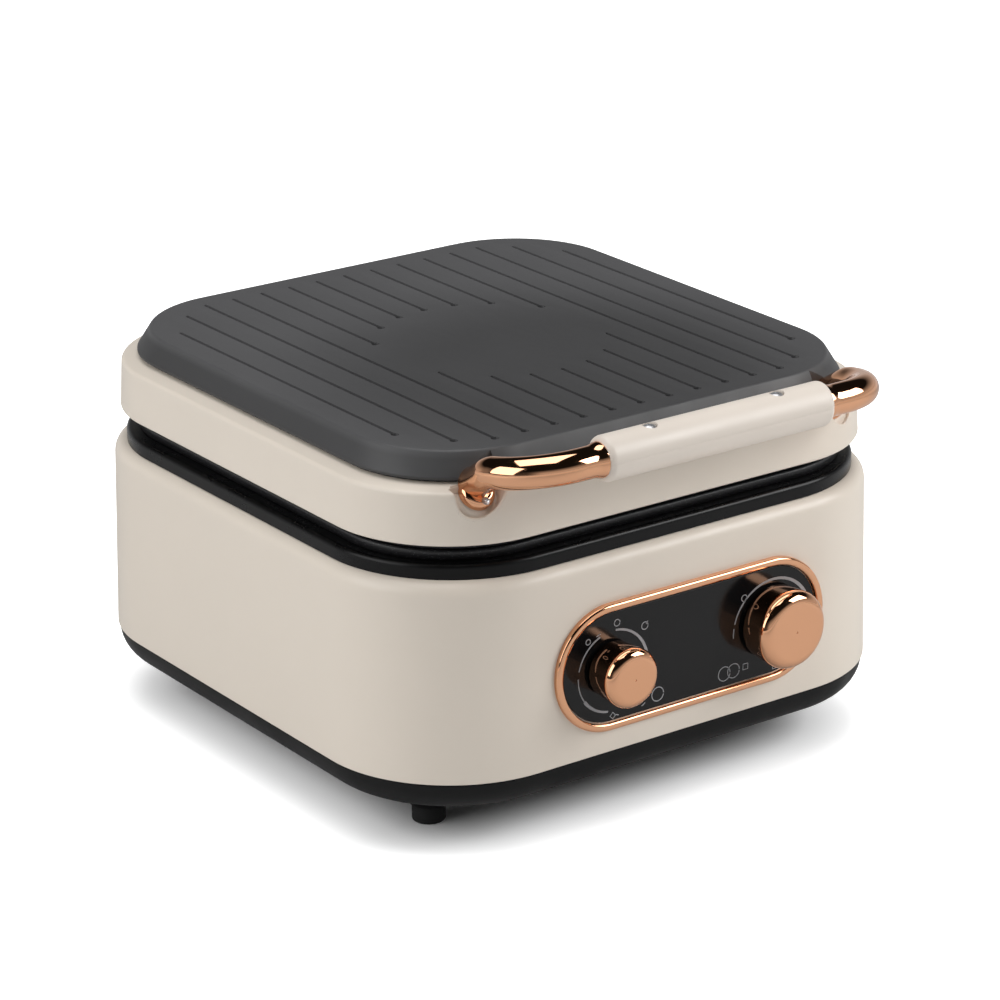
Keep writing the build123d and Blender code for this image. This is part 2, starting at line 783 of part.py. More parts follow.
def scoop_block(margin, low, high):
    """The two hollows for the handle's roots, larger by the margin and cut off at two heights."""
    width = 2 * (scoop_radius + margin)
    with BuildPart() as block:
        for side in (-1, 1):
            with BuildSketch(flange_plane(side, rise=-flange_thickness - margin, x=scoop_x)):
                Circle(scoop_radius + margin)
                Rectangle(width, scoop_reach, align=(Align.CENTER, Align.MIN))
            extrude(amount=scoop_reach)
        with Locations((0, body_y + scoop_back + margin, (low + high) / 2)):
            Box(
                body_width,
                body_depth,
                high - low,
                align=(Align.CENTER, Align.MAX, Align.CENTER),
                mode=Mode.INTERSECT,
            )
    return block


# Lid shell: a drafted wall, a soft shoulder that slopes up to the cover, and a ledge for the cover
with BuildPart() as lid_cavity:
    with BuildSketch(level(lid_bottom)):
        outline(lid_inset + shell_wall, lid_corner - shell_wall)
    extrude(amount=lid_shoulder - lid_roof - lid_bottom, taper=lid_draft_angle)
    with BuildSketch(level(lid_shoulder - lid_roof)):
        outline(lid_opening_inset, lid_opening_corner)
    extrude(amount=lid_rim - lid_shoulder + lid_roof)
    with BuildSketch(level(lid_ledge)):
        outline(lid_rim_inset, lid_rim_corner)
    extrude(amount=lid_rim - lid_ledge)
    add(scoop_block(scoop_wall, lid_bottom, lid_ledge).part, mode=Mode.SUBTRACT)
    for land_x in (-hinge_x, hinge_x):
        with BuildSketch(rear_plane(arm_land)):
            with Locations((-land_x, arm_plate_middle)):
                Rectangle(arm_plate_width, arm_plate_height)
        extrude(amount=-2 * land_overlap, mode=Mode.SUBTRACT)
    with BuildSketch(level(upper_rim_bottom + upper_rim_height)):
        with Locations(*lid_post_points):
            Circle(lid_post_radius)
    extrude(amount=lid_ledge - upper_rim_bottom - upper_rim_height, mode=Mode.SUBTRACT)
    with BuildSketch(level(lid_ledge)):
        with GridLocations(2 * lug_x, 2 * lug_y, 2, 2):
            Circle(lug_radius)
    extrude(amount=-lug_thickness, mode=Mode.SUBTRACT)
with BuildPart() as lid_shell:
    with BuildSketch(level(lid_bottom)):
        outline(lid_inset, lid_corner)
    extrude(amount=lid_shoulder - lid_bottom, taper=lid_draft_angle)
    with BuildSketch(level(lid_shoulder)):
        outline(lid_inset + lid_shoulder_inset, lid_corner - lid_shoulder_inset)
    with BuildSketch(level(lid_rim)):
        outline(lid_rim_inset, lid_rim_corner)
    loft(ruled=True)
    shoulder_edges = lid_shell.edges().filter_by_position(Axis.Z, lid_shoulder, lid_shoulder)
    fillet(shoulder_edges, radius=lid_shoulder_edge)
    fillet(lid_shell.faces().sort_by(Axis.Z)[0].edges(), radius=lid_edge)
    for land_x in (-hinge_x, hinge_x):
        with BuildSketch(rear_plane(arm_land)):
            with Locations((-land_x, arm_plate_middle)):
                RectangleRounded(
                    arm_plate_width + 2 * arm_plate_border,
                    arm_plate_height + 2 * arm_plate_border,
                    arm_plate_corner,
                )
        extrude(amount=-land_overlap)
    add(lid_cavity.part, mode=Mode.SUBTRACT)
    add(scoop_block(0, lid_bottom, cover_top).part, mode=Mode.SUBTRACT)
    with BuildSketch(level(upper_rim_bottom + upper_rim_height)):
        with Locations(*lid_post_points):
            Circle(screw_shank_radius)
    extrude(amount=lid_post_bore, mode=Mode.SUBTRACT)
    with BuildSketch(level(lid_ledge)):
        with GridLocations(2 * lug_x, 2 * lug_y, 2, 2):
            Circle(screw_shank_radius + screw_hole_clearance)
    extrude(amount=-lug_thickness, mode=Mode.SUBTRACT)
    arm_screw_points = [
        (side * hinge_x + spread * arm_screw_spacing / 2, arm_screw_z)
        for side in (-1, 1)
        for spread in (-1, 1)
    ]
    with BuildSketch(rear_plane(arm_land)):
        with Locations(*arm_screw_points):
            Circle(screw_shank_radius)
    extrude(amount=-land_overlap - shell_wall, mode=Mode.SUBTRACT)

# Lid cover: a sloped rim round a flat top with long grooves, notched where the handle's roots stand
cover_hollow_inset = lid_rim_inset + seat_clearance + cover_spigot_wall
with BuildPart() as cover_cavity:
    with BuildSketch(level(lid_ledge)):
        outline(cover_hollow_inset, lid_rim_corner - cover_spigot_wall)
    extrude(amount=cover_roof - lid_ledge, taper=cover_hollow_angle)
    add(scoop_block(scoop_wall, lid_ledge, cover_top).part, mode=Mode.SUBTRACT)
    with BuildSketch(level(lid_ledge)):
        with GridLocations(2 * lug_x, 2 * lug_y, 2, 2):
            Circle(cover_post_radius)
    extrude(amount=cover_top - lid_ledge, mode=Mode.SUBTRACT)


def groove_span(index):
    """The front and rear ends of one groove, shorter towards the sides of the cover."""
    if abs(index) == groove_count // 2:
        return -groove_front_outer, groove_rear_outer
    if abs(index) == groove_count // 2 - 1:
        return -groove_front_second, groove_rear_second
    return -groove_front, groove_rear


def groove_pieces():
    """Every groove as x, front end and rear end, broken where it would cross the bare round."""
    pieces = []
    for index in range(-(groove_count // 2), groove_count // 2 + 1):
        x = index * groove_pitch
        front, rear = groove_span(index)
        if abs(x) >= bare_round_radius:
            pieces.append((x, front, rear))
            continue
        half = sqrt(bare_round_radius**2 - x**2)
        pieces.append((x, front, bare_round_y - half))
        pieces.append((x, bare_round_y + half, rear))
    return pieces


with BuildPart() as lid_cover:
    with BuildSketch(level(lid_ledge)):
        outline(lid_rim_inset + seat_clearance, lid_rim_corner)
    extrude(amount=cover_bottom - lid_ledge)
    with BuildSketch(level(cover_bottom)):
        outline(cover_inset, cover_corner)
    extrude(amount=cover_side)
    with BuildSketch(level(cover_slope_bottom)):
        outline(cover_inset, cover_corner)
    with BuildSketch(level(cover_top)):
        outline(cover_top_inset, cover_top_corner)
    loft(ruled=True)
    fillet(lid_cover.faces().sort_by(Axis.Z)[-1].edges(), radius=cover_edge)
    add(cover_cavity.part, mode=Mode.SUBTRACT)
    add(scoop_block(0, lid_bottom, cover_top + cover_wall).part, mode=Mode.SUBTRACT)
    with BuildSketch(level(cover_top)):
        for x, front, rear in groove_pieces():
            with Locations((x, (front + rear) / 2)):
                SlotOverall(rear - front, groove_width, rotation=90)
    extrude(amount=-groove_depth, mode=Mode.SUBTRACT)
    with BuildSketch(level(cover_top)):
        for x, front, rear in groove_pieces():
            with Locations((x, front + groove_pit_radius)):
                Circle(groove_pit_radius)
    extrude(amount=-groove_pit_depth, mode=Mode.SUBTRACT)
    with BuildSketch(level(lid_ledge)):
        with GridLocations(2 * lug_x, 2 * lug_y, 2, 2):
            Circle(screw_shank_radius)
    extrude(amount=cover_post_bore, mode=Mode.SUBTRACT)

lug_points = [(x, y) for x in (-lug_x, lug_x) for y in (-lug_y, lug_y)]
cover_screw_plane = level(lid_ledge - lug_thickness).rotated((180, 0, 0))
cover_screws = screw_group(cover_screw_plane, lug_points, cover_screw_length)


def handle_arm(side):
    """One bent tube of the handle: root flange, knee, elbow, flared end and the spigot in the grip."""
    seat = flange_plane(side, rise=-flange_thickness)
    root = flange_plane(side, fall=-flange_tube_offset).origin
    knee = Vector(side * tube_knee_x, body_y + tube_knee_y, tube_knee_z)
    elbow = Vector(side * tube_elbow_x, body_y + grip_y, grip_z)
    end = Vector(side * grip_length / 2, body_y + grip_y, grip_z)
    toward_knee = (knee - root).normalized()
    start = root - toward_knee * flange_thickness
    flare_angle = degrees(atan2(tube_flare - tube_radius, tube_flare_length))
    with BuildPart() as arm:
        with BuildLine() as route:
            FilletPolyline(start, knee, elbow, end, radius=[tube_knee_bend, tube_elbow_bend])
        with BuildSketch(Plane(origin=start, z_dir=toward_knee)):
            Circle(tube_radius)
        sweep(path=route.line)
        split(bisect_by=seat, keep=Keep.TOP)
        with BuildSketch(seat):
            Circle(flange_radius)
        extrude(amount=flange_thickness)
        with Locations((0, body_y + scoop_back - seat_clearance, flange_z)):
            Box(
                body_width,
                body_depth,
                body_depth,
                align=(Align.CENTER, Align.MAX, Align.CENTER),
                mode=Mode.INTERSECT,
            )
        with BuildSketch(flange_plane(side, fall=root_screw_offset)):
            Circle(root_screw_shank + running_clearance)
        extrude(amount=-root_screw_length - seat_clearance, mode=Mode.SUBTRACT)
        with BuildSketch(side_plane(side * grip_length / 2)):
            with Locations((grip_y, grip_z)):
                Circle(tube_flare)
        extrude(amount=side * tube_flare_length, taper=flare_angle)
        with BuildSketch(side_plane(side * grip_length / 2)):
            with Locations((grip_y, grip_z)):
                Circle(spigot_radius)
        extrude(amount=-side * spigot_length)
        with BuildSketch(level(grip_z + grip_height)):
            with Locations((side * grip_screw_x, grip_y)):
                Circle(screw_shank_radius + screw_hole_clearance)
        extrude(amount=-2 * grip_height, mode=Mode.SUBTRACT)
    return arm


handle_arm_left = handle_arm(-1)
handle_arm_right = handle_arm(1)

# The small screws in front of the tubes' roots
with BuildPart() as root_screws:
    for side in (-1, 1):
        with BuildSketch(flange_plane(side, fall=root_screw_offset)):
            Circle(root_screw_radius)
        extrude(amount=root_screw_head)
        with BuildSketch(flange_plane(side, fall=root_screw_offset)):
            Circle(root_screw_shank)
        extrude(amount=-root_screw_length)

# Grip: an oval bar in two halves, clamped round the spigots by two screws from above
with BuildPart() as grip_bar:
    with BuildSketch(side_plane(-grip_length / 2)):
        with Locations((grip_y, grip_z)):
            Ellipse(grip_width / 2, grip_height / 2)
    extrude(amount=grip_length)
    fillet(grip_bar.edges().filter_by(GeomType.ELLIPSE), radius=grip_edge)
    for side in (-1, 1):
        with BuildSketch(side_plane(side * grip_length / 2)):
            with Locations((grip_y, grip_z)):
                Circle(spigot_radius + running_clearance)
        extrude(amount=-side * (spigot_length + seat_clearance), mode=Mode.SUBTRACT)
    with BuildSketch(level(grip_z + grip_height)):
        with Locations((-grip_screw_x, grip_y), (grip_screw_x, grip_y)):
            Circle(screw_recess_radius)
    extrude(amount=grip_screw_seat - grip_z - grip_height, mode=Mode.SUBTRACT)
    with BuildSketch(level(grip_z + grip_height)):
        with Locations((-grip_screw_x, grip_y), (grip_screw_x, grip_y)):
            Circle(screw_shank_radius + screw_hole_clearance)
    extrude(amount=grip_screw_seat - grip_screw_length - grip_z - grip_height, mode=Mode.SUBTRACT)
with BuildPart() as grip_upper:
    add(grip_bar.part)
    split(bisect_by=Plane.XY.offset(grip_z), keep=Keep.TOP)
with BuildPart() as grip_lower:
    add(grip_bar.part)
    split(bisect_by=Plane.XY.offset(grip_z), keep=Keep.BOTTOM)
grip_screw_points = [(-grip_screw_x, grip_y), (grip_screw_x, grip_y)]
grip_screws = screw_group(level(grip_screw_seat), grip_screw_points, grip_screw_length, slotted=True)

# Control panel with its bright trim, set into the front wall
with BuildPart() as control_panel:
    with BuildSketch(front_plane(panel_seat)):
        with Locations((panel_x, panel_z)):
            SlotOverall(2 * panel_half_length, 2 * panel_half_height)
        with Locations(*control_points):
            Circle(bush_radius + seat_clearance, mode=Mode.SUBTRACT)
    extrude(amount=panel_thickness)
with BuildPart() as panel_trim:
    with BuildSketch(front_plane(panel_seat)):
        with Locations((panel_x, panel_z)):
            SlotOverall(2 * (panel_half_length + trim_width), 2 * (panel_half_height + trim_width))
            SlotOverall(2 * panel_half_length, 2 * panel_half_height, mode=Mode.SUBTRACT)
    extrude(amount=trim_height)
    fillet(panel_trim.faces().sort_by(Axis.Y)[0].edges(), radius=trim_edge)


def knob(x, radius, edge):
    """A hollow knob: a drafted skirt, a rounded front edge and a hub with a flatted bore."""
    with BuildPart() as turned:
        with BuildSketch(front_plane(knob_back)):
            with Locations((x, panel_z)):
                Circle(radius - knob_taper)
        extrude(amount=knob_depth, taper=-degrees(atan2(knob_taper, knob_depth)))
        fillet(turned.edges().filter_by(GeomType.CIRCLE).sort_by(Axis.Y)[0], radius=edge)
        fillet(turned.edges().filter_by(GeomType.CIRCLE).sort_by(Axis.Y)[-1], radius=knob_back_edge)
        with BuildSketch(front_plane(knob_back)):
            with Locations((x, panel_z)):
                Circle(radius - knob_taper - knob_wall)
        extrude(amount=knob_depth - 2 * knob_wall, mode=Mode.SUBTRACT)
        with BuildSketch(front_plane(knob_hub_back)):
            with Locations((x, panel_z)):
                Circle(knob_hub_radius)
        extrude(amount=knob_hub_back - knob_front - knob_wall)
        with BuildSketch(front_plane(knob_hub_back)):
            with Locations((x, panel_z)):
                Circle(shaft_radius + running_clearance)
            with Locations((x, panel_z + shaft_flat + running_clearance)):
                Rectangle(
                    2 * knob_hub_radius, knob_hub_radius, align=(Align.CENTER, Align.MIN), mode=Mode.SUBTRACT
                )
        extrude(amount=knob_hub_back - shaft_front, mode=Mode.SUBTRACT)
        with BuildSketch(front_plane(knob_front)):
            with Locations((x, panel_z)):
                Circle(knob_dot_radius)
        extrude(amount=-knob_dot_depth, mode=Mode.SUBTRACT)
    return turned


def control_shaft(x):
    """The shaft that a knob turns: round in its bush and flatted inside the knob's hub."""
    with BuildPart() as shaft:
        with BuildSketch(front_plane(control_seat)):
            with Locations((x, panel_z)):
                Circle(shaft_radius)
        extrude(amount=control_seat - shaft_front)
        with BuildSketch(front_plane(knob_hub_back + shaft_round_end)):
            with Locations((x, panel_z + shaft_flat)):
                Rectangle(2 * shaft_radius, shaft_radius, align=(Align.CENTER, Align.MIN))
        extrude(amount=knob_hub_back + shaft_round_end - shaft_front, mode=Mode.SUBTRACT)
    return shaft


selector_knob = knob(selector_x, selector_radius, selector_edge)
temperature_knob = knob(temperature_x, temperature_radius, temperature_edge)
selector_shaft = control_shaft(selector_x)
temperature_shaft = control_shaft(temperature_x)


def control_bush(x):
    """A control's bush through the front wall and the panel, bored for its shaft."""
    with BuildPart() as bush:
        with BuildSketch(front_plane(control_seat)):
            with Locations((x, panel_z)):
                Circle(bush_radius)
                Circle(shaft_radius + running_clearance, mode=Mode.SUBTRACT)
        extrude(amount=control_seat - bush_front)
    return bush


with BuildPart() as selector_switch:
    with BuildSketch(front_plane(control_seat)):
        with Locations((selector_x, panel_z)):
            RectangleRounded(selector_body, selector_body, selector_body_corner)
    extrude(amount=-selector_body_depth)
    add(control_bush(selector_x).part)
    with BuildSketch(front_plane(control_seat + selector_body_depth)):
        with Locations((selector_x, panel_z)):
            with GridLocations(terminal_pitch, 1, 3, 1):
                Rectangle(terminal_thickness, terminal_width)
    extrude(amount=-terminal_length)
with BuildPart() as thermostat:
    with BuildSketch(front_plane(control_seat)):
        with Locations((temperature_x, panel_z)):
            Circle(temperature_body_radius)
    extrude(amount=-temperature_body_depth)
    add(control_bush(temperature_x).part)
    with BuildSketch(front_plane(control_seat + temperature_body_depth)):
        with Locations((temperature_x, panel_z)):
            with GridLocations(2 * terminal_pitch, 1, 2, 1):
                Rectangle(terminal_thickness, terminal_width)
    extrude(amount=-terminal_length)

# The nuts that hold both controls against the panel, out of sight inside the knobs
with BuildPart() as control_nuts:
    with BuildSketch(front_plane(panel_seat - panel_thickness)):
        with Locations(*control_points):
            RegularPolygon(nut_size / 2, 6, major_radius=False)
            Circle(bush_radius + running_clearance, mode=Mode.SUBTRACT)
    extrude(amount=nut_thickness)


# Hinges: a fixed bracket with two ears, the lid's arm between them and the pin through all three
def hinge_bracket(side):
    """The bracket on the base: a screwed plate, two ears and their bridge behind the arm."""
    x = side * hinge_x
    ear_offset = (hinge_knuckle_length + hinge_ear_length) / 2 + hinge_side_gap
    with BuildPart() as bracket:
        with BuildSketch(rear_plane(hinge_land)):
            with Locations((-x, hinge_plate_middle)):
                RectangleRounded(hinge_plate_width, hinge_plate_height, hinge_plate_corner)
        extrude(amount=hinge_plate_thickness)
        for ear in (-1, 1):
            with BuildSketch(side_plane(x + ear * ear_offset - hinge_ear_length / 2)):
                with Locations((hinge_y, hinge_z)):
                    Circle(hinge_ear_radius)
                with BuildLine():
                    Polyline(
                        (hinge_y - hinge_ear_radius + ear_neck, hinge_z),
                        (hinge_land + ear_bite, hinge_plate_top - ear_root_drop),
                        (hinge_land + hinge_plate_thickness, hinge_plate_bottom + ear_root_rise),
                        (hinge_y + hinge_ear_radius, hinge_z),
                        close=True,
                    )
                make_face()
                with Locations((hinge_y, hinge_z)):
                    Circle(hinge_pin_radius + press_clearance, mode=Mode.SUBTRACT)
            extrude(amount=hinge_ear_length)
        bracket_screw_points = [
            (-x - hinge_screw_spacing / 2, hinge_screw_z),
            (-x + hinge_screw_spacing / 2, hinge_screw_z),
        ]
        with BuildSketch(rear_plane(hinge_land)):
            with Locations(*bracket_screw_points):
                Circle(screw_shank_radius + screw_hole_clearance)
        extrude(amount=hinge_plate_thickness, mode=Mode.SUBTRACT)
    return bracket


def hinge_arm(side):
    """The arm on the lid: a screwed plate and a neck down to the knuckle that turns on the pin."""
    x = side * hinge_x
    with BuildPart() as arm:
        with BuildSketch(rear_plane(arm_land)):
            with Locations((-x, arm_plate_middle)):
                RectangleRounded(arm_plate_width, arm_plate_height, arm_plate_corner)
        extrude(amount=hinge_plate_thickness)
        with BuildSketch(side_plane(x - hinge_knuckle_length / 2)):
            with Locations((hinge_y, hinge_z)):
                Circle(hinge_ear_radius)
            with BuildLine():
                Polyline(
                    (hinge_y - arm_neck_front, hinge_z + arm_neck_lift),
                    (arm_land + arm_neck_bite, arm_plate_bottom + arm_neck_low),
                    (arm_land + arm_neck_bite, arm_plate_top - arm_neck_high),
                    (arm_land + arm_neck_depth, arm_plate_top - arm_neck_high - arm_neck_slope),
                    (hinge_y + hinge_ear_radius - arm_neck_rear, hinge_z + arm_neck_high),
                    close=True,
                )
            make_face()
            with Locations((hinge_y, hinge_z)):
                Circle(hinge_pin_radius + running_clearance, mode=Mode.SUBTRACT)
        extrude(amount=hinge_knuckle_length)
        plate_screw_points = [
            (-x - arm_screw_spacing / 2, arm_screw_z),
            (-x + arm_screw_spacing / 2, arm_screw_z),
        ]
        with BuildSketch(rear_plane(arm_land)):
            with Locations(*plate_screw_points):
                Circle(screw_shank_radius + screw_hole_clearance)
        extrude(amount=hinge_plate_thickness, mode=Mode.SUBTRACT)
    return arm


def hinge_pin(side):
    """The hinge pin with a head at each end."""
    x = side * hinge_x
    half = hinge_knuckle_length / 2 + hinge_side_gap + hinge_ear_length
    with BuildPart() as pin:
        with BuildSketch(side_plane(x)):
            with Locations((hinge_y, hinge_z)):
                Circle(hinge_pin_radius)
        extrude(amount=half, both=True)
        for end in (-1, 1):
            with BuildSketch(side_plane(x + end * half)):
                with Locations((hinge_y, hinge_z)):
                    Circle(hinge_pin_head)
            extrude(amount=end * hinge_pin_head_thickness)
    return pin


hinge_bracket_left = hinge_bracket(-1)
hinge_bracket_right = hinge_bracket(1)
hinge_arm_left = hinge_arm(-1)
hinge_arm_right = hinge_arm(1)
hinge_pin_left = hinge_pin(-1)
hinge_pin_right = hinge_pin(1)
hinge_screw_length = hinge_plate_thickness + wall_screw_bite
bracket_screws = screw_group(
    rear_plane(hinge_land + hinge_plate_thickness), hinge_screw_points, hinge_screw_length
)
arm_screws = screw_group(rear_plane(arm_land + hinge_plate_thickness), arm_screw_points, hinge_screw_length)

# Mains inlet: a flanged socket with three flat pins
with BuildPart() as power_inlet:
    with BuildSketch(rear_plane(inlet_seat)):
        with Locations((0, inlet_z)):
            RectangleRounded(inlet_flange_width, inlet_flange_height, inlet_corner)
    extrude(amount=inlet_flange)
    with BuildSketch(rear_plane(inlet_seat)):
        with Locations((0, inlet_z)):
            RectangleRounded(inlet_body_width, inlet_body_height, inlet_body_corner)
    extrude(amount=-inlet_body_depth)
    with BuildSketch(rear_plane(inlet_seat + inlet_flange)):
        with Locations((0, inlet_z)):
            RectangleRounded(socket_width, socket_height, socket_corner)
    extrude(amount=-socket_depth, mode=Mode.SUBTRACT)
    with BuildSketch(rear_plane(inlet_seat)):
        with Locations((-inlet_screw_spacing / 2, inlet_z), (inlet_screw_spacing / 2, inlet_z)):
            Circle(screw_shank_radius + screw_hole_clearance)
    extrude(amount=inlet_flange, mode=Mode.SUBTRACT)
    inlet_pin_points = [
        (-inlet_pin_pitch, inlet_z - inlet_earth_rise / 2),
        (0, inlet_z + inlet_earth_rise / 2),
        (inlet_pin_pitch, inlet_z - inlet_earth_rise / 2),
    ]
    with BuildSketch(rear_plane(inlet_seat + inlet_flange - socket_depth)):
        with Locations(*inlet_pin_points):
            Rectangle(inlet_pin_thickness, inlet_pin_width)
    extrude(amount=-2 * inlet_body_depth, mode=Mode.SUBTRACT)
with BuildPart() as inlet_pins:
    with BuildSketch(rear_plane(inlet_seat + inlet_flange - socket_depth)):
        with Locations(*inlet_pin_points):
            Rectangle(inlet_pin_thickness, inlet_pin_width)
    extrude(amount=inlet_pin_length)
    with BuildSketch(rear_plane(inlet_seat + inlet_flange - socket_depth)):
        with Locations(*inlet_pin_points):
            Rectangle(inlet_pin_thickness, inlet_pin_width)
    extrude(amount=-(inlet_body_depth + inlet_flange - socket_depth + inlet_pin_root))
inlet_screws = screw_group(
    rear_plane(inlet_seat + inlet_flange),
    [(-inlet_screw_spacing / 2, inlet_z), (inlet_screw_spacing / 2, inlet_z)],
    inlet_flange + wall_screw_bite,
)

pieces = {
    "rubber_feet": rubber_feet,
    "bottom_tray": bottom_tray,
    "tray_screws": tray_screws,
    "base_shell": base_shell,
    "lower_rim": lower_rim,
    "lower_plate": lower_plate,
    "lower_heater": lower_heater,
    "lower_heater_clamp": lower_heater_clamp,
    "lower_clamp_screw": lower_clamp_screw,
    "lower_heat_shield": lower_heat_shield,
    "lower_shield_screws": lower_shield_screws,
    "thermal_cutout": thermal_cutout,
    "thermal_fuse": thermal_fuse,
    "control_panel": control_panel,
    "panel_trim": panel_trim,
    "selector_switch": selector_switch,
    "thermostat": thermostat,
    "control_nuts": control_nuts,
    "hinge_bracket_left": hinge_bracket_left,
    "hinge_bracket_right": hinge_bracket_right,
    "bracket_screws": bracket_screws,
    "hinge_pin_left": hinge_pin_left,
    "hinge_pin_right": hinge_pin_right,
    "power_inlet": power_inlet,
    "inlet_pins": inlet_pins,
    "inlet_screws": inlet_screws,
    "lid_shell": lid_shell,
    "lid_cover": lid_cover,
    "cover_screws": cover_screws,
    "upper_rim": upper_rim,
    "upper_rim_screws": upper_rim_screws,
    "upper_plate": upper_plate,
    "upper_heater": upper_heater,
    "upper_heater_clamp": upper_heater_clamp,
    "upper_clamp_screw": upper_clamp_screw,
    "upper_heat_shield": upper_heat_shield,
    "upper_shield_screws": upper_shield_screws,
    "hinge_arm_left": hinge_arm_left,
    "hinge_arm_right": hinge_arm_right,
    "arm_screws": arm_screws,
    "handle_arm_left": handle_arm_left,
    "handle_arm_right": handle_arm_right,
    "root_screws": root_screws,
    "grip_upper": grip_upper,
    "grip_lower": grip_lower,
    "grip_screws": grip_screws,
    "selector_knob": selector_knob,
    "selector_shaft": selector_shaft,
    "temperature_knob": temperature_knob,
    "temperature_shaft": temperature_shaft,
}
for node, piece in pieces.items():
    piece.part.label = node
    export_step(piece.part, f"parts/{node}.step")
    print(node, round(piece.part.volume, 1), len(piece.part.solids()))
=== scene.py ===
"""The looks of a countertop sandwich maker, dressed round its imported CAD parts.

Sizes here are millimetres in the part's own frame (+Z up, front towards -Y) and become metres when a
mesh is made. Every new piece is a surface of two parameters on a grid, computed as whole arrays.
"""

import json
import logging
import math
from dataclasses import dataclass, field
from enum import Enum

import bmesh
import bpy
import numpy as np
from mathutils import Matrix, Vector
from mathutils.geometry import delaunay_2d_cdt

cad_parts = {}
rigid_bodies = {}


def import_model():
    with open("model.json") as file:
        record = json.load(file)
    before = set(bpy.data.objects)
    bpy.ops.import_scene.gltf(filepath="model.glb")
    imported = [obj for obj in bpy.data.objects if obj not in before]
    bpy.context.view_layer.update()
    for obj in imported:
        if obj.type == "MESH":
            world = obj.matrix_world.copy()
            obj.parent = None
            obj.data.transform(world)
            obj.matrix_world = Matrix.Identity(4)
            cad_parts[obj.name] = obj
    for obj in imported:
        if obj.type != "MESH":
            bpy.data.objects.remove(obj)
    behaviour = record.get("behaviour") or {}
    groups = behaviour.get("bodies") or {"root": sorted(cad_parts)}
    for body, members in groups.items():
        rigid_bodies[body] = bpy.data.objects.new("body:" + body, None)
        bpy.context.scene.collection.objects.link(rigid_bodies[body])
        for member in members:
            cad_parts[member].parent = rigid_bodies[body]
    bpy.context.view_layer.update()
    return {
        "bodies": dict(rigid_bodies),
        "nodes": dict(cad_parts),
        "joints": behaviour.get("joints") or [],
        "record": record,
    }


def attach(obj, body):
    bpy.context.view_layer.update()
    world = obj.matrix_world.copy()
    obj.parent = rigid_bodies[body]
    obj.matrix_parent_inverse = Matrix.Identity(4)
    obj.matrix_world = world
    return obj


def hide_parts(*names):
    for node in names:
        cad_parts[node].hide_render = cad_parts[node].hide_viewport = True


log = logging.getLogger("sandwich_maker")

Socket = bpy.types.NodeSocket
Colour = tuple[float, float, float, float]
Triple = tuple[float, float, float]
Pair = tuple[float, float]

MILLIMETRE = 0.001
MERGE_GAP = 0.002
# Centre, spread and heights of the painted reflection that makes the cover's flat top paler.
PAINTED_REFLECTION_Y = -0.055
PAINTED_REFLECTION_REACH = (0.06, 0.15)
PAINTED_REFLECTION_HEIGHTS = (0.176, 0.179)
BODY_Y = 8.1
SIDES = (-1, 1)


class Body(Enum):
    """The CAD bodies that pieces ride on."""

    BASE = "base"
    LID = "lid"
    SELECTOR = "selector"
    TEMPERATURE = "temperature"


class Slot(Enum):
    """The record's material slots."""

    CREAM_PAINT = "cream_paint"
    CREAM_PLASTIC = "cream_plastic"
    BLACK_PLASTIC = "black_plastic"
    BLACK_GLOSS = "black_gloss"
    BLACK_PAINT = "black_paint"
    COATED_PLATE = "coated_plate"
    COPPER = "copper"
    STEEL = "steel"
    ALUMINIUM = "aluminium"
    RUBBER = "rubber"


class Shading(Enum):
    """The angle in degrees at which two faces must meet before the edge between them stays sharp."""

    SOFT = 50.0
    CRISP = 28.0


def from_screen(red: float, green: float, blue: float) -> Colour:
    """A colour given as screen values of 0 to 255, as linear light.

    Args:
        red: Red on the screen.
        green: Green on the screen.
        blue: Blue on the screen.

    Returns:
        Linear red, green and blue with full alpha.
    """
    shown = np.array([red, green, blue]) / 255.0
    linear = np.where(shown <= 0.04045, shown / 12.92, ((shown + 0.055) / 1.055) ** 2.4)
    return (float(linear[0]), float(linear[1]), float(linear[2]), 1.0)


def set_inputs(node: bpy.types.Node, values: dict[str, float | Triple]) -> None:
    """Sets constants on a node's inputs, whose names hold an underscore for each space."""
    for name, value in values.items():
        node.inputs[name.replace("_", " ")].default_value = value


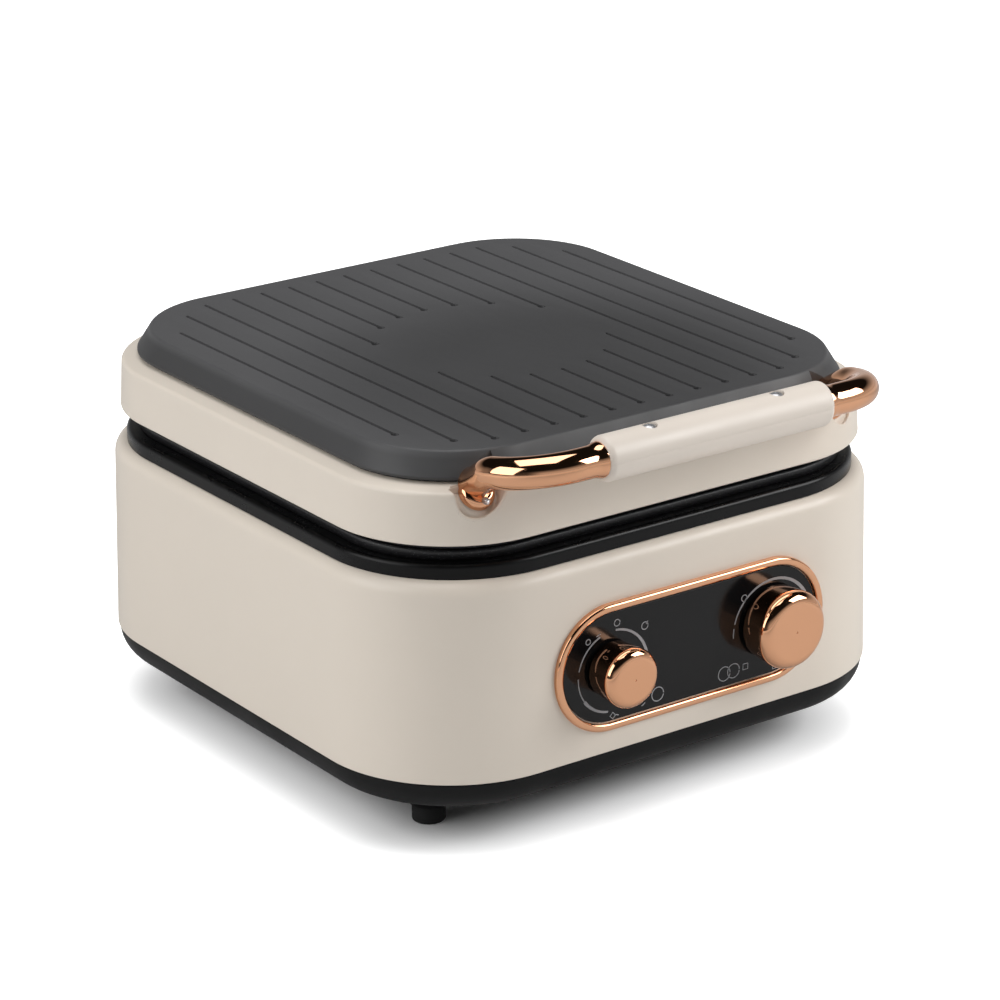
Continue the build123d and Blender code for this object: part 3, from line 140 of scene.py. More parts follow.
class Graph:
    """Short calls for the nodes that any tree may hold."""

    def __init__(self, tree: bpy.types.NodeTree) -> None:
        """Keeps the tree.

        Args:
            tree: The tree that the nodes go into.
        """
        self.tree = tree

    def node(self, kind: str, **inputs: float | Triple) -> bpy.types.Node:
        """A new shader node of a kind, with some inputs set; an underscore in their names means a space."""
        made = self.tree.nodes.new(f"ShaderNode{kind}")
        set_inputs(made, inputs)
        return made

    def link(self, source: Socket, target: Socket) -> None:
        """Joins two sockets."""
        self.tree.links.new(source, target)

    def give(self, value: Socket | float, target: Socket) -> None:
        """Joins a socket to the target, or sets a constant on it."""
        if isinstance(value, (int, float)):
            target.default_value = value
        else:
            self.link(value, target)

    def maths(self, operation: str, first: Socket | float, second: Socket | float = 0.0) -> Socket:
        """The result of one sum with one or two values."""
        node = self.node("Math")
        node.operation = operation
        self.give(first, node.inputs[0])
        self.give(second, node.inputs[1])
        return node.outputs[0]

    def mixed(self, factor: Socket, first: Socket | float, second: Socket | float) -> Socket:
        """A value that goes from the first to the second as the factor goes from 0 to 1."""
        node = self.node("Mix")
        self.give(factor, node.inputs[0])
        self.give(first, node.inputs[2])
        self.give(second, node.inputs[3])
        return node.outputs[0]

    def split(self, vector: Socket) -> tuple[Socket, ...]:
        """The three parts of a vector."""
        node = self.node("SeparateXYZ")
        self.link(vector, node.inputs[0])
        return tuple(node.outputs)

    def rays(self) -> bpy.types.NodeOutputs:
        """What kind of ray looks at the surface."""
        return self.node("LightPath").outputs

    def span(
        self,
        value: Socket,
        low: float,
        high: float,
        to_low: float,
        to_high: float,
        smooth: bool = False,
    ) -> Socket:
        """A value carried from one range to another, and held at its ends."""
        node = self.node("MapRange", From_Min=low, From_Max=high, To_Min=to_low, To_Max=to_high)
        node.interpolation_type = "SMOOTHSTEP" if smooth else "LINEAR"
        self.link(value, node.inputs["Value"])
        return node.outputs["Result"]


class Nodes(Graph):
    """One material's node tree, with short calls for what the finishes share."""

    def __init__(self, name: str) -> None:
        """Starts a material with a shader, an output and the piece's own coordinates.

        Args:
            name: The material's name.
        """
        self.material = bpy.data.materials.new(name)
        self.material.use_nodes = True
        super().__init__(self.material.node_tree)
        self.tree.nodes.clear()
        self.shader = self.node("BsdfPrincipled")
        self.link(self.shader.outputs["BSDF"], self.node("OutputMaterial").inputs["Surface"])
        self.place = self.node("TexCoord").outputs["Object"]

    def stretched(self, along: Triple) -> Socket:
        """The piece's coordinates, multiplied axis by axis."""
        mapping = self.node("Mapping", Scale=along)
        self.link(self.place, mapping.inputs["Vector"])
        return mapping.outputs["Vector"]

    def noise(
        self,
        per_metre: float,
        detail: float = 2.0,
        along: Triple = (1.0, 1.0, 1.0),
        warp: float = 0.0,
    ) -> Socket:
        """A cloudy value from 0 to 1.

        Args:
            per_metre: How many clouds fit in a metre.
            detail: How many finer layers there are.
            along: A factor for each axis, which stretches the clouds.
            warp: How far the clouds are pulled about.

        Returns:
            The value's socket.
        """
        texture = self.node("TexNoise", Scale=per_metre, Detail=detail, Distortion=warp)
        self.link(self.stretched(along), texture.inputs["Vector"])
        return texture.outputs["Fac"]

    def cells(self, per_metre: float) -> Socket:
        """The distance to the nearest of many scattered points."""
        texture = self.node("TexVoronoi", Scale=per_metre)
        self.link(self.place, texture.inputs["Vector"])
        return texture.outputs["Distance"]

    def blend(self, factor: Socket, first: Colour, second: Colour) -> Socket:
        """A colour that goes from the first to the second as the factor goes from 0 to 1."""
        node = self.node("Mix")
        node.data_type = "RGBA"
        node.inputs[6].default_value = first
        node.inputs[7].default_value = second
        self.link(factor, node.inputs[0])
        return node.outputs[2]

    def bump(self, height: Socket, depth: float, under: Socket | None = None) -> Socket:
        """Surface relief from a height.

        Args:
            height: The value that gives the relief.
            depth: How deep it is, in millimetres.
            under: The relief that this one lies on.

        Returns:
            The normal's socket.
        """
        node = self.node("Bump", Strength=1.0, Distance=depth * MILLIMETRE)
        self.link(height, node.inputs["Height"])
        if under is not None:
            self.link(under, node.inputs["Normal"])
        return node.outputs["Normal"]

    def finished(
        self, colour: Socket, roughness: Socket, relief: Socket, **constants: float
    ) -> bpy.types.Material:
        """Gives the shader its colour, roughness, relief and constants.

        Args:
            colour: The colour's socket.
            roughness: The roughness's socket.
            relief: The normal's socket.
            constants: The inputs that stay constant, with an underscore for each space in their names.

        Returns:
            The material.
        """
        for name, socket in (("Base Color", colour), ("Roughness", roughness), ("Normal", relief)):
            self.link(socket, self.shader.inputs[name])
        set_inputs(self.shader, constants)
        return self.material


def dimmed(colour: Colour, factor: float) -> Colour:
    """A colour with its light multiplied."""
    return (colour[0] * factor, colour[1] * factor, colour[2] * factor, 1.0)


@dataclass(frozen=True)
class Lacquer:
    """Baked paint on metal: a fine orange peel under a thin coat.

    Attributes:
        name: The material's name.
        colour: The paint's colour.
        sheen_low: The smoothest roughness.
        sheen_high: The roughest roughness.
        coat: How much clear coat lies on it.
        peel: Depth of the orange peel in millimetres.
        grain: Depth of the fine grain in millimetres.
        gloss: How strongly it reflects.
    """

    name: str
    colour: Colour
    sheen_low: float = 0.36
    sheen_high: float = 0.46
    coat: float = 0.12
    peel: float = 0.012
    grain: float = 0.004
    gloss: float = 0.45

    def material(self) -> bpy.types.Material:
        """Builds the node material."""
        nodes = Nodes(self.name)
        colour = nodes.blend(nodes.noise(9.0, 3.0), dimmed(self.colour, 0.97), dimmed(self.colour, 1.02))
        sheen = nodes.span(nodes.noise(60.0, 4.0), 0.3, 0.7, self.sheen_low, self.sheen_high)
        peel = nodes.bump(nodes.noise(260.0, 1.0), self.peel)
        relief = nodes.bump(nodes.noise(2400.0, 2.0), self.grain, peel)
        coating = {"Coat_Weight": self.coat, "Coat_Roughness": 0.25}
        return nodes.finished(colour, sheen, relief, Specular_IOR_Level=self.gloss, **coating)


@dataclass(frozen=True)
class Moulding:
    """Moulded plastic with a spark-eroded grain and faint flow marks, and where asked a painted reflection
    that makes its flat top paler away from a place near its front.

    Attributes:
        name: The material's name.
        colour: The plastic's colour.
        sheen_low: The smoothest roughness.
        sheen_high: The roughest roughness.
        grain: Depth of the grain in millimetres.
        per_metre: How many grains fit in a metre.
        mottle: How much the colour varies from place to place.
        gloss: How strongly it reflects.
        painted_reflection: How much paler its flat top is painted away from a place near its front, a painted
            reflection of the surroundings.
    """

    name: str
    colour: Colour
    sheen_low: float = 0.4
    sheen_high: float = 0.55
    grain: float = 0.01
    per_metre: float = 1800.0
    mottle: float = 0.06
    gloss: float = 0.5
    painted_reflection: float = 0.0

    def material(self) -> bpy.types.Material:
        """Builds the node material."""
        nodes = Nodes(self.name)
        clouds = nodes.noise(22.0, 5.0, warp=0.6)
        x, y, z = nodes.split(nodes.place)
        # Painted reflection: the colour turns paler with the distance from a point near the front, on the
        # flat top only.
        y = nodes.maths("SUBTRACT", y, PAINTED_REFLECTION_Y)
        square = nodes.maths("ADD", nodes.maths("MULTIPLY", x, x), nodes.maths("MULTIPLY", y, y))
        pale = nodes.span(nodes.maths("SQRT", square), *PAINTED_REFLECTION_REACH, 0.0, self.painted_reflection, smooth=True)
        pale = nodes.maths("MULTIPLY", pale, nodes.span(z, *PAINTED_REFLECTION_HEIGHTS, 0.0, 1.0))
        tone = nodes.maths("ADD", nodes.maths("MULTIPLY", clouds, 2 * self.mottle), pale)
        tone = nodes.maths("DIVIDE", tone, 2 * self.mottle + self.painted_reflection)
        low, high = dimmed(self.colour, 1 - self.mottle), dimmed(self.colour, 1 + self.mottle + self.painted_reflection)
        flow = nodes.noise(34.0, 4.0, along=(1.0, 0.45, 1.0), warp=0.8)
        sheen = nodes.span(flow, 0.35, 0.65, self.sheen_low, self.sheen_high)
        waves = nodes.bump(nodes.noise(70.0, 2.0), 2 * self.grain)
        relief = nodes.bump(nodes.noise(self.per_metre, 3.0), self.grain, waves)
        return nodes.finished(nodes.blend(tone, low, high), sheen, relief, Specular_IOR_Level=self.gloss)


@dataclass(frozen=True)
class Metal:
    """Bare or plated metal, polished or brushed along one axis.

    Attributes:
        name: The material's name.
        colour: The colour of its reflections.
        sheen_low: The smoothest roughness.
        sheen_high: The roughest roughness.
        along: A factor for each axis, which draws the brushing out along one of them.
        marks: Depth of the brushing or wiping marks in millimetres.
    """

    name: str
    colour: Colour
    sheen_low: float = 0.05
    sheen_high: float = 0.12
    along: Triple = (1.0, 1.0, 1.0)
    marks: float = 0.0004

    def material(self) -> bpy.types.Material:
        """Builds the node material."""
        nodes = Nodes(self.name)
        colour = nodes.blend(nodes.noise(30.0, 3.0), dimmed(self.colour, 0.96), self.colour)
        wiped = nodes.noise(180.0, 5.0, along=self.along, warp=0.3)
        sheen = nodes.span(wiped, 0.35, 0.7, self.sheen_low, self.sheen_high)
        relief = nodes.bump(nodes.noise(900.0, 3.0, along=self.along), self.marks)
        return nodes.finished(colour, sheen, relief, Metallic=1.0)


@dataclass(frozen=True)
class NonStick:
    """The dark speckled coating of the cooking plates.

    Attributes:
        name: The material's name.
        colour: The coating's colour.
        fleck: The colour of its flecks.
    """

    name: str
    colour: Colour
    fleck: Colour

    def material(self) -> bpy.types.Material:
        """Builds the node material."""
        nodes = Nodes(self.name)
        flecks = nodes.span(nodes.cells(900.0), 0.05, 0.22, 1.0, 0.0)
        colour = nodes.blend(flecks, self.colour, self.fleck)
        sheen = nodes.span(nodes.noise(90.0, 4.0), 0.3, 0.7, 0.32, 0.45)
        sprayed = nodes.bump(nodes.noise(420.0, 2.0), 0.02)
        relief = nodes.bump(nodes.noise(2600.0, 3.0), 0.006, sprayed)
        return nodes.finished(colour, sheen, relief, Specular_IOR_Level=0.5)


@dataclass(frozen=True)
class Glass:
    """The panel's smooth black face, with a printed underside that is slightly uneven.

    Attributes:
        name: The material's name.
        colour: The colour seen through it.
    """

    name: str
    colour: Colour

    def material(self) -> bpy.types.Material:
        """Builds the node material."""
        nodes = Nodes(self.name)
        colour = nodes.blend(nodes.noise(40.0, 4.0), dimmed(self.colour, 0.85), dimmed(self.colour, 1.15))
        sheen = nodes.span(nodes.noise(120.0, 5.0), 0.35, 0.7, 0.1, 0.17)
        relief = nodes.bump(nodes.noise(45.0, 1.0), 0.006)
        return nodes.finished(colour, sheen, relief, Specular_IOR_Level=0.3)


@dataclass(frozen=True)
class Finish:
    """A built material and the record's slot for it.

    Attributes:
        material: The node material.
        slot: The slot, if the record has one for it.
    """

    material: bpy.types.Material
    slot: Slot | None


def built(recipe: Lacquer | Moulding | Metal | NonStick | Glass, slot: Slot | None) -> Finish:
    """A recipe's material, built and tied to its slot."""
    return Finish(recipe.material(), slot)


class Palette:
    """Every finish of the appliance, each built once."""

    def __init__(self) -> None:
        """Builds the materials, named for what they cover."""
        black = from_screen(15, 15, 16)
        cream = Lacquer("cream baked paint", from_screen(223, 213, 200))
        self.cream_paint = built(cream, Slot.CREAM_PAINT)
        grip = Moulding("cream grip plastic", from_screen(223, 213, 202), 0.34, 0.46, 0.003, 2200.0, 0.015)
        self.cream_plastic = built(grip, Slot.CREAM_PLASTIC)
        slate = from_screen(56, 56, 57)
        # Its last value paints the cover's top paler away from its front: a painted reflection.
        cover = Moulding("dark grained cover", slate, 0.47, 0.57, 0.012, 1900.0, 0.1, 0.5, 0.9)
        self.cover = built(cover, Slot.BLACK_PLASTIC)
        tray = Moulding("black moulded plastic", black, 0.34, 0.5, 0.006, 1500.0, 0.08, 0.2)
        self.black_plastic = built(tray, Slot.BLACK_PLASTIC)
        rim = Lacquer("black rim paint", from_screen(10, 10, 11), 0.24, 0.34, 0.03, 0.006, 0.003, 0.2)
        self.black_paint = built(rim, Slot.BLACK_PAINT)
        self.panel = built(Glass("black panel face", black), Slot.BLACK_GLOSS)
        copper = Metal("polished rose copper", from_screen(240, 181, 142), 0.04, 0.1)
        self.copper = built(copper, Slot.COPPER)
        steel = Metal("bright steel", from_screen(205, 205, 207), 0.18, 0.32, (1.0, 9.0, 9.0), 0.0012)
        self.steel = built(steel, Slot.STEEL)
        frosted = Metal("frosted steel", from_screen(226, 226, 228), 0.34, 0.44, marks=0.001)
        self.frosted_steel = built(frosted, Slot.STEEL)
        zinc = Metal("plated hinge steel", from_screen(190, 192, 196), 0.28, 0.42, (4.0, 4.0, 1.0), 0.002)
        self.zinc = built(zinc, Slot.STEEL)
        pale = from_screen(214, 216, 219)
        pressed = Metal("pressed aluminium", pale, 0.3, 0.48, (1.0, 7.0, 1.0), 0.0025)
        self.aluminium = built(pressed, Slot.ALUMINIUM)
        coat, fleck = from_screen(38, 38, 40), from_screen(108, 108, 112)
        self.plate = built(NonStick("speckled plate coating", coat, fleck), Slot.COATED_PLATE)
        foot = Moulding("foot rubber", from_screen(24, 24, 25), 0.7, 0.85, 0.02, 900.0, 0.12)
        self.rubber = built(foot, Slot.RUBBER)
        ink = Moulding("printed marks", from_screen(150, 151, 154), 0.4, 0.5, 0.001, 1500.0, 0.08)
        self.print_grey = built(ink, None)


@dataclass(frozen=True)
class Placement:
    """Where a shape drawn in its own three directions stands in the part's frame.

    Attributes:
        origin: The point that the shape is drawn round.
        u: The direction of the first local coordinate.
        v: The direction of the second.
        w: The direction of the third, square to both.
    """

    origin: Triple
    u: Triple = (1.0, 0.0, 0.0)
    v: Triple = (0.0, 1.0, 0.0)
    w: Triple = (0.0, 0.0, 1.0)

    def put(self, local: np.ndarray) -> np.ndarray:
        """Local points, in an array whose last axis is three, as points of the part's frame."""
        return np.array(self.origin) + local @ np.array([self.u, self.v, self.w])


def level(x: float = 0.0, y: float = 0.0, z: float = 0.0) -> Placement:
    """Drawn flat, with the third direction up; x and y are from the middle of the casing."""
    return Placement((x, BODY_Y + y, z))


def facing_front(x: float, y: float, z: float) -> Placement:
    """Drawn upright, with the third direction towards the front."""
    return Placement((x, BODY_Y + y, z), (1.0, 0.0, 0.0), (0.0, 0.0, 1.0), (0.0, -1.0, 0.0))


def facing_rear(x: float, y: float, z: float) -> Placement:
    """Drawn upright, with the third direction towards the rear."""
    return Placement((x, BODY_Y + y, z), (-1.0, 0.0, 0.0), (0.0, 0.0, 1.0), (0.0, 1.0, 0.0))


def leaning(x: float, y: float, z: float, lean: float) -> Placement:
    """Drawn on a slope that climbs rearwards by an angle in degrees, with the third direction off it."""
    sine, cosine = math.sin(math.radians(lean)), math.cos(math.radians(lean))
    return Placement((x, BODY_Y + y, z), (1.0, 0.0, 0.0), (0.0, cosine, sine), (0.0, -sine, cosine))


def unit(vector: np.ndarray) -> np.ndarray:
    """Vectors along the last axis, each made one long."""
    return vector / np.linalg.norm(vector, axis=-1, keepdims=True)


def round_corners(
    points: list[tuple[float, ...]],
    radii: list[float],
    closed: bool = False,
    steps: int = 8,
    guard: float = 0.0,
) -> np.ndarray:
    """A line of straight runs whose corners give way to arcs that touch both runs.

    An arc of radius r at a corner whose runs meet at angle f touches them r / tan(f / 2) from the corner.
    Its points are (sin((1 - k) g) p + sin(k g) q) / sin(g) about its middle, for k from 0 to 1, where p and q
    reach its two ends and g is its own angle.

    Args:
        points: The corners, in two or three dimensions.
        radii: One radius for each corner, 0 for a sharp one; an open line's ends ignore theirs.
        closed: Whether the last corner joins the first.
        steps: How many chords an arc has.
        guard: How far past each end of an arc one more point stands, which keeps the run beside it flat.

    Returns:
        The line's points, one row each.
    """
    corners = np.array(points, float)
    count = len(corners)
    out: list[np.ndarray] = []
    for index, corner in enumerate(corners):
        radius = radii[index]
        if radius <= 0 or (not closed and index in (0, count - 1)):
            out.append(corner[None])
            continue
        before = corners[index - 1] - corner
        after = corners[(index + 1) % count] - corner
        first, second = unit(before), unit(after)
        half = math.acos(float(np.clip(first @ second, -1, 1))) / 2
        reach = radius / math.tan(half)
        middle = corner + unit(first + second) * radius / math.sin(half)
        start, end = corner + first * reach - middle, corner + second * reach - middle
        turn = math.pi - 2 * half
        share = np.linspace(0, 1, steps + 1)[:, None]
        arc = middle + (np.sin((1 - share) * turn) * start + np.sin(share * turn) * end) / math.sin(turn)
        if guard:
            arc = np.vstack([corner + first * (reach + guard), arc, corner + second * (reach + guard)])
        out.append(arc)
    return np.vstack(out)


class Outline:
    """Samples of a rounded rectangle that every ring of a casing surface shares.

    A ring with half sizes a and b and corner radius r has the points
    (ex (a - r) + c r, ey (b - r) + s r), where c and s are the cosine and sine of the corner's angle and
    ex and ey go from -1 to 1 along the straight sides.
    """

    def __init__(self, corner_steps: int = 24, side_steps: int = 9) -> None:
        """Works out the shared samples.

        Args:
            corner_steps: How many chords a corner has.
            side_steps: How many points stand between two corners.
        """
        turn = np.linspace(0, math.pi / 2, corner_steps + 1)
        between = np.linspace(1, -1, side_steps + 2)[1:-1]
        flat = np.ones_like(between)
        arms = []
        for quarter in range(4):
            angle = turn + quarter * math.pi / 2
            sign_x = 1.0 if quarter in (0, 3) else -1.0
            sign_y = 1.0 if quarter in (0, 1) else -1.0
            arms.append(np.array([np.cos(angle), np.sin(angle), sign_x + 0 * turn, sign_y + 0 * turn]))
            end = (quarter + 1) * math.pi / 2
            facing = [round(math.cos(end)) * flat, round(math.sin(end)) * flat]
            if quarter % 2 == 0:
                arms.append(np.array([*facing, sign_x * between, sign_y * flat]))
            else:
                arms.append(np.array([*facing, sign_x * flat, sign_y * between]))
        self.cosine, self.sine, self.across, self.along = np.hstack(arms)

    def rings(self, a: np.ndarray, b: np.ndarray, r: np.ndarray, h: np.ndarray) -> np.ndarray:
        """A grid of rings: P(s, t) = ring(s) of half sizes a(t), b(t) and corner r(t), at height h(t).

        Args:
            a: Half sizes along the first direction.
            b: Half sizes along the second.
            r: Corner radii.
            h: Heights along the third.

        Returns:
            An array of shape (rings, samples, 3).
        """
        a, b, r, h = (np.asarray(value, float)[:, None] for value in (a, b, r, h))
        first = self.across * (a - r) + self.cosine * r
        second = self.along * (b - r) + self.sine * r
        return np.stack([first, second, np.broadcast_to(h, first.shape)], axis=-1)


class Piece:
    """A mesh that is gathered from grids and made one object of the appliance."""

    def __init__(self, name: str) -> None:
        """Starts an empty piece.

        Args:
            name: The object's name.
        """
        self.name = name
        self.points: list[np.ndarray] = []
        self.faces: list[list[int]] = []
        self.count = 0

    def grid(self, points: np.ndarray, close_rows: bool = False, close_columns: bool = True) -> "Piece":
        """Adds the four-sided faces between the neighbours of a grid of points.

        Args:
            points: Points of shape (rows, columns, 3) in millimetres.
            close_rows: Whether the last row joins the first.
            close_columns: Whether the last column joins the first.

        Returns:
            The piece itself.
        """
        rows, columns = points.shape[:2]
        index = np.arange(rows * columns).reshape(rows, columns) + self.count
        down = np.vstack([index, index[:1]]) if close_rows else index
        across = np.hstack([down, down[:, :1]]) if close_columns else down
        quads = np.stack([across[:-1, :-1], across[:-1, 1:], across[1:, 1:], across[1:, :-1]], axis=-1)
        self.faces.extend(quads.reshape(-1, 4).tolist())
        self.points.append(points.reshape(-1, 3))
        self.count += rows * columns
        return self

    def triangles(self, points: np.ndarray, faces: np.ndarray) -> "Piece":
        """Adds points with the triangles between them."""
        self.faces.extend((faces + self.count).tolist())
        self.points.append(points)
        self.count += len(points)
        return self

    def build(self, shading: Shading = Shading.CRISP) -> bpy.types.Object:
        """Makes the object: in metres, with its seams and poles merged and its faces outwards.

        Args:
            shading: Which edges stay sharp.

        Returns:
            The object, linked to the scene.
        """
        mesh = bpy.data.meshes.new(self.name)
        mesh.from_pydata(np.vstack(self.points) * MILLIMETRE, [], self.faces)
        made = bpy.data.objects.new(self.name, mesh)
        bpy.context.scene.collection.objects.link(made)
        tidy_mesh(mesh)
        shade(mesh, shading)
        return made


def tidy_mesh(mesh: bpy.types.Mesh, outwards: bool = True) -> None:
    """Merges points that lie together.

    Args:
        mesh: The mesh.
        outwards: Whether closed surfaces' faces are turned outwards too.
    """
    work = bmesh.new()
    work.from_mesh(mesh)
    bmesh.ops.remove_doubles(work, verts=work.verts, dist=MERGE_GAP * MILLIMETRE)
    bmesh.ops.dissolve_degenerate(work, edges=work.edges, dist=MERGE_GAP * MILLIMETRE)
    if outwards:
        bmesh.ops.recalc_face_normals(work, faces=work.faces)
    work.to_mesh(mesh)
    work.free()


def shade(mesh: bpy.types.Mesh, shading: Shading) -> None:
    """Shades a mesh smooth, except at its sharp edges."""
    mesh.polygons.foreach_set("use_smooth", np.ones(len(mesh.polygons), bool))
    mesh.set_sharp_from_angle(angle=math.radians(shading.value))
    mesh.update()


def carve(target: bpy.types.Object, cutter: bpy.types.Object) -> None:
    """Takes the cutter's volume out of the target and removes the cutter.

    Args:
        target: The object that is cut.
        cutter: The object whose volume goes.
    """
    modifier = target.modifiers.new("Carve", "BOOLEAN")
    modifier.operation = "DIFFERENCE"
    modifier.solver = "EXACT"
    modifier.object = cutter
    graph = bpy.context.evaluated_depsgraph_get()
    cut = bpy.data.meshes.new_from_object(target.evaluated_get(graph))
    target.modifiers.clear()
    old = target.data
    target.data = cut
    bpy.data.meshes.remove(old)
    bpy.data.objects.remove(cutter)
    tidy_mesh(cut, outwards=False)
    shade(cut, Shading.CRISP)


def face_towards(mesh: bpy.types.Mesh, way: Triple) -> None:
    """Turns an open surface's faces over if most of them look the other way."""
    if sum(face.area * face.normal.dot(Vector(way)) for face in mesh.polygons) < 0:
        mesh.flip_normals()


def cut_flat(target: bpy.types.Object, point: Triple, facing: Triple, close: bool = True) -> None:
    """Cuts an object along a plane and keeps what lies behind the plane.

    Args:
        target: The object that is cut.
        point: A point of the plane, in millimetres.
        facing: The plane's direction.
        close: Whether the cut is filled.
    """
    work = bmesh.new()
    work.from_mesh(target.data)
    everything = [*work.verts, *work.edges, *work.faces]
    place = Vector(point) * MILLIMETRE
    cut = bmesh.ops.bisect_plane(
        work, geom=everything, plane_co=place, plane_no=Vector(facing), clear_outer=True
    )
    if close:
        rim = [part for part in cut["geom_cut"] if isinstance(part, bmesh.types.BMEdge)]
        bmesh.ops.holes_fill(work, edges=rim)
        bmesh.ops.recalc_face_normals(work, faces=work.faces)
    work.to_mesh(target.data)
    work.free()


def turned(place: Placement, radius: np.ndarray, height: np.ndarray, steps: int = 64) -> np.ndarray:
    """A shape turned about the third direction: P(t, k) = (r(t) cos k, r(t) sin k, h(t)).

    Args:
        place: Where it stands.
        radius: The radius at each station.
        height: The height at each station.
        steps: How many points a ring has.

    Returns:
        An array of shape (stations, steps, 3).
    """
    angle = np.arange(steps) * 2 * math.pi / steps
    r, h = np.asarray(radius, float)[:, None], np.asarray(height, float)[:, None]
    return place.put(np.stack([r * np.cos(angle), r * np.sin(angle), h + 0 * angle], axis=-1))


def along_path(path: np.ndarray, radius: np.ndarray, away: np.ndarray, steps: int = 40) -> np.ndarray:
    """A round tube: P(t, k) = path(t) + r(t) (n(t) cos k + m(t) sin k), closed at both ends.

    n is square to the path's direction and to a fixed one, and m is square to the path and to n.

    Args:
        path: The middle line, one row for each station.
        radius: The radius at each station.
        away: The fixed direction, which the path never takes.
        steps: How many points a ring has.

    Returns:
        An array of shape (stations + 2, steps, 3).
    """
    heading = unit(np.gradient(path, axis=0))
    n = unit(np.cross(heading, away))
    m = np.cross(heading, n)
    path = np.vstack([path[:1], path, path[-1:]])
    n, m = (np.vstack([value[:1], value, value[-1:]]) for value in (n, m))
    r = np.concatenate([[0], radius, [0]])[:, None, None]
    angle = (np.arange(steps) * 2 * math.pi / steps)[None, :, None]
    return path[:, None] + r * (n[:, None] * np.cos(angle) + m[:, None] * np.sin(angle))


def even_steps(path: np.ndarray, spacing: float) -> np.ndarray:
    """A line's points set out afresh at an even spacing along it."""
    run = np.concatenate([[0], np.cumsum(np.linalg.norm(np.diff(path, axis=0), axis=1))])
    at = np.linspace(0, run[-1], max(2, round(run[-1] / spacing) + 1))
    return np.stack([np.interp(at, run, path[:, axis]) for axis in range(3)], axis=-1)


def prism(line: np.ndarray, low: float, high: float, middle: float = 0.0, foot: float = 1.0) -> np.ndarray:
    """An outline carried along the third direction: P(t, s) = (m + k(t) (line(s) - m), h(t)), closed.

    Args:
        line: The outline's points, in two dimensions.
        low: The height at which it starts.
        high: The height at which it ends.
        middle: How far m, from which every point of the outline is seen, lies along the second direction.
        foot: How large its start is beside its end.

    Returns:
        An array of shape (4, points, 3).
    """
    centre = np.array([0.0, middle])
    flat = centre + (line - centre) * np.array([0.0, foot, 1.0, 0.0])[:, None, None]
    height = np.array([low, low, high, high])[:, None, None]
    return np.concatenate([flat, np.broadcast_to(height, (4, len(line), 1))], axis=-1)


def pad(place: Placement, half_width: float, half_height: float, depth: float) -> np.ndarray:
    """A flat raised pad with rounded corners.

    Args:
        place: The middle of its face, the third direction outwards.
        half_width: Half its width.
        half_height: Half its height.
        depth: How deep it goes behind its face.

    Returns:
        The grid of points.
    """
    ring = Outline(8, 2).rings([half_width], [half_height], [min(half_width, half_height) / 4], [0.0])
    return place.put(prism(ring[0, :, :2], -depth, 0.0))


class Wardrobe:
    """Puts finished objects on their bodies and gives the CAD nodes their materials."""

    def __init__(self, frame: dict) -> None:
        """Keeps the loaded frame.

        Args:
            frame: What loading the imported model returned.
        """
        self.nodes = frame["nodes"]
        self.body_of = {
            node: body for body, members in frame["record"]["behaviour"]["bodies"].items() for node in members
        }

    def place(self, made: bpy.types.Object, finish: Finish, body: Body, *stands_for: str) -> None:
        """Dresses an object, sets it on its body and hides the nodes that it stands for.

        Args:
            made: The object.
            finish: Its finish.
            body: The body that it rides on.
            stands_for: The CAD nodes that it replaces.
        """
        made.data.materials.clear()
        made.data.materials.append(finish.material)
        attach(made, body.value)
        if stands_for:
            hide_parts(*stands_for)
        log.info("%s: %d faces on %s", made.name, len(made.data.polygons), body.value)

    def paint(self, finish: Finish, *names: str) -> None:
        """Gives CAD nodes a finish as they are."""
        for name in names:
            data = self.nodes[name].data
            data.materials.clear()
            data.materials.append(finish.material)
            log.info("%s: CAD node, %s", name, finish.material.name)

    def smoothed(self, finish: Finish, *names: str) -> None:
        """Shows CAD nodes as merged copies whose curved faces are shaded smooth.

        Args:
            finish: Their finish.
            names: The nodes.
        """
        for name in names:
            mesh = self.nodes[name].data.copy()
            work = bmesh.new()
            work.from_mesh(mesh)
            bmesh.ops.remove_doubles(work, verts=work.verts, dist=0.001 * MILLIMETRE)
            work.to_mesh(mesh)
            work.free()
            shade(mesh, Shading.CRISP)
            made = bpy.data.objects.new(f"{name}_smooth", mesh)
            bpy.context.scene.collection.objects.link(made)
            self.place(made, finish, Body(self.body_of[name]), name)


class Assembly:
    """A sub-assembly, whose fields are its sizes and places."""

    def dress(self, wardrobe: Wardrobe, palette: Palette) -> None:
        """Builds the pieces, dresses them and sets them on their bodies.

        Args:
            wardrobe: Sets the pieces on their bodies.
            palette: The finishes.
        """
        raise NotImplementedError


@dataclass
class Shell(Assembly):
    """A sub-assembly whose surfaces follow the casing's rounded rectangle."""

    half_width: float = 140.0
    half_depth: float = 144.4
    outline: Outline = field(default_factory=lambda: Outline(30, 24))

    def rings(self, inset: np.ndarray, corner: np.ndarray, height: np.ndarray) -> np.ndarray:
        """The casing's outline, moved inwards and given a corner radius at each height."""
        return self.outline.rings(self.half_width - inset, self.half_depth - inset, corner, height)


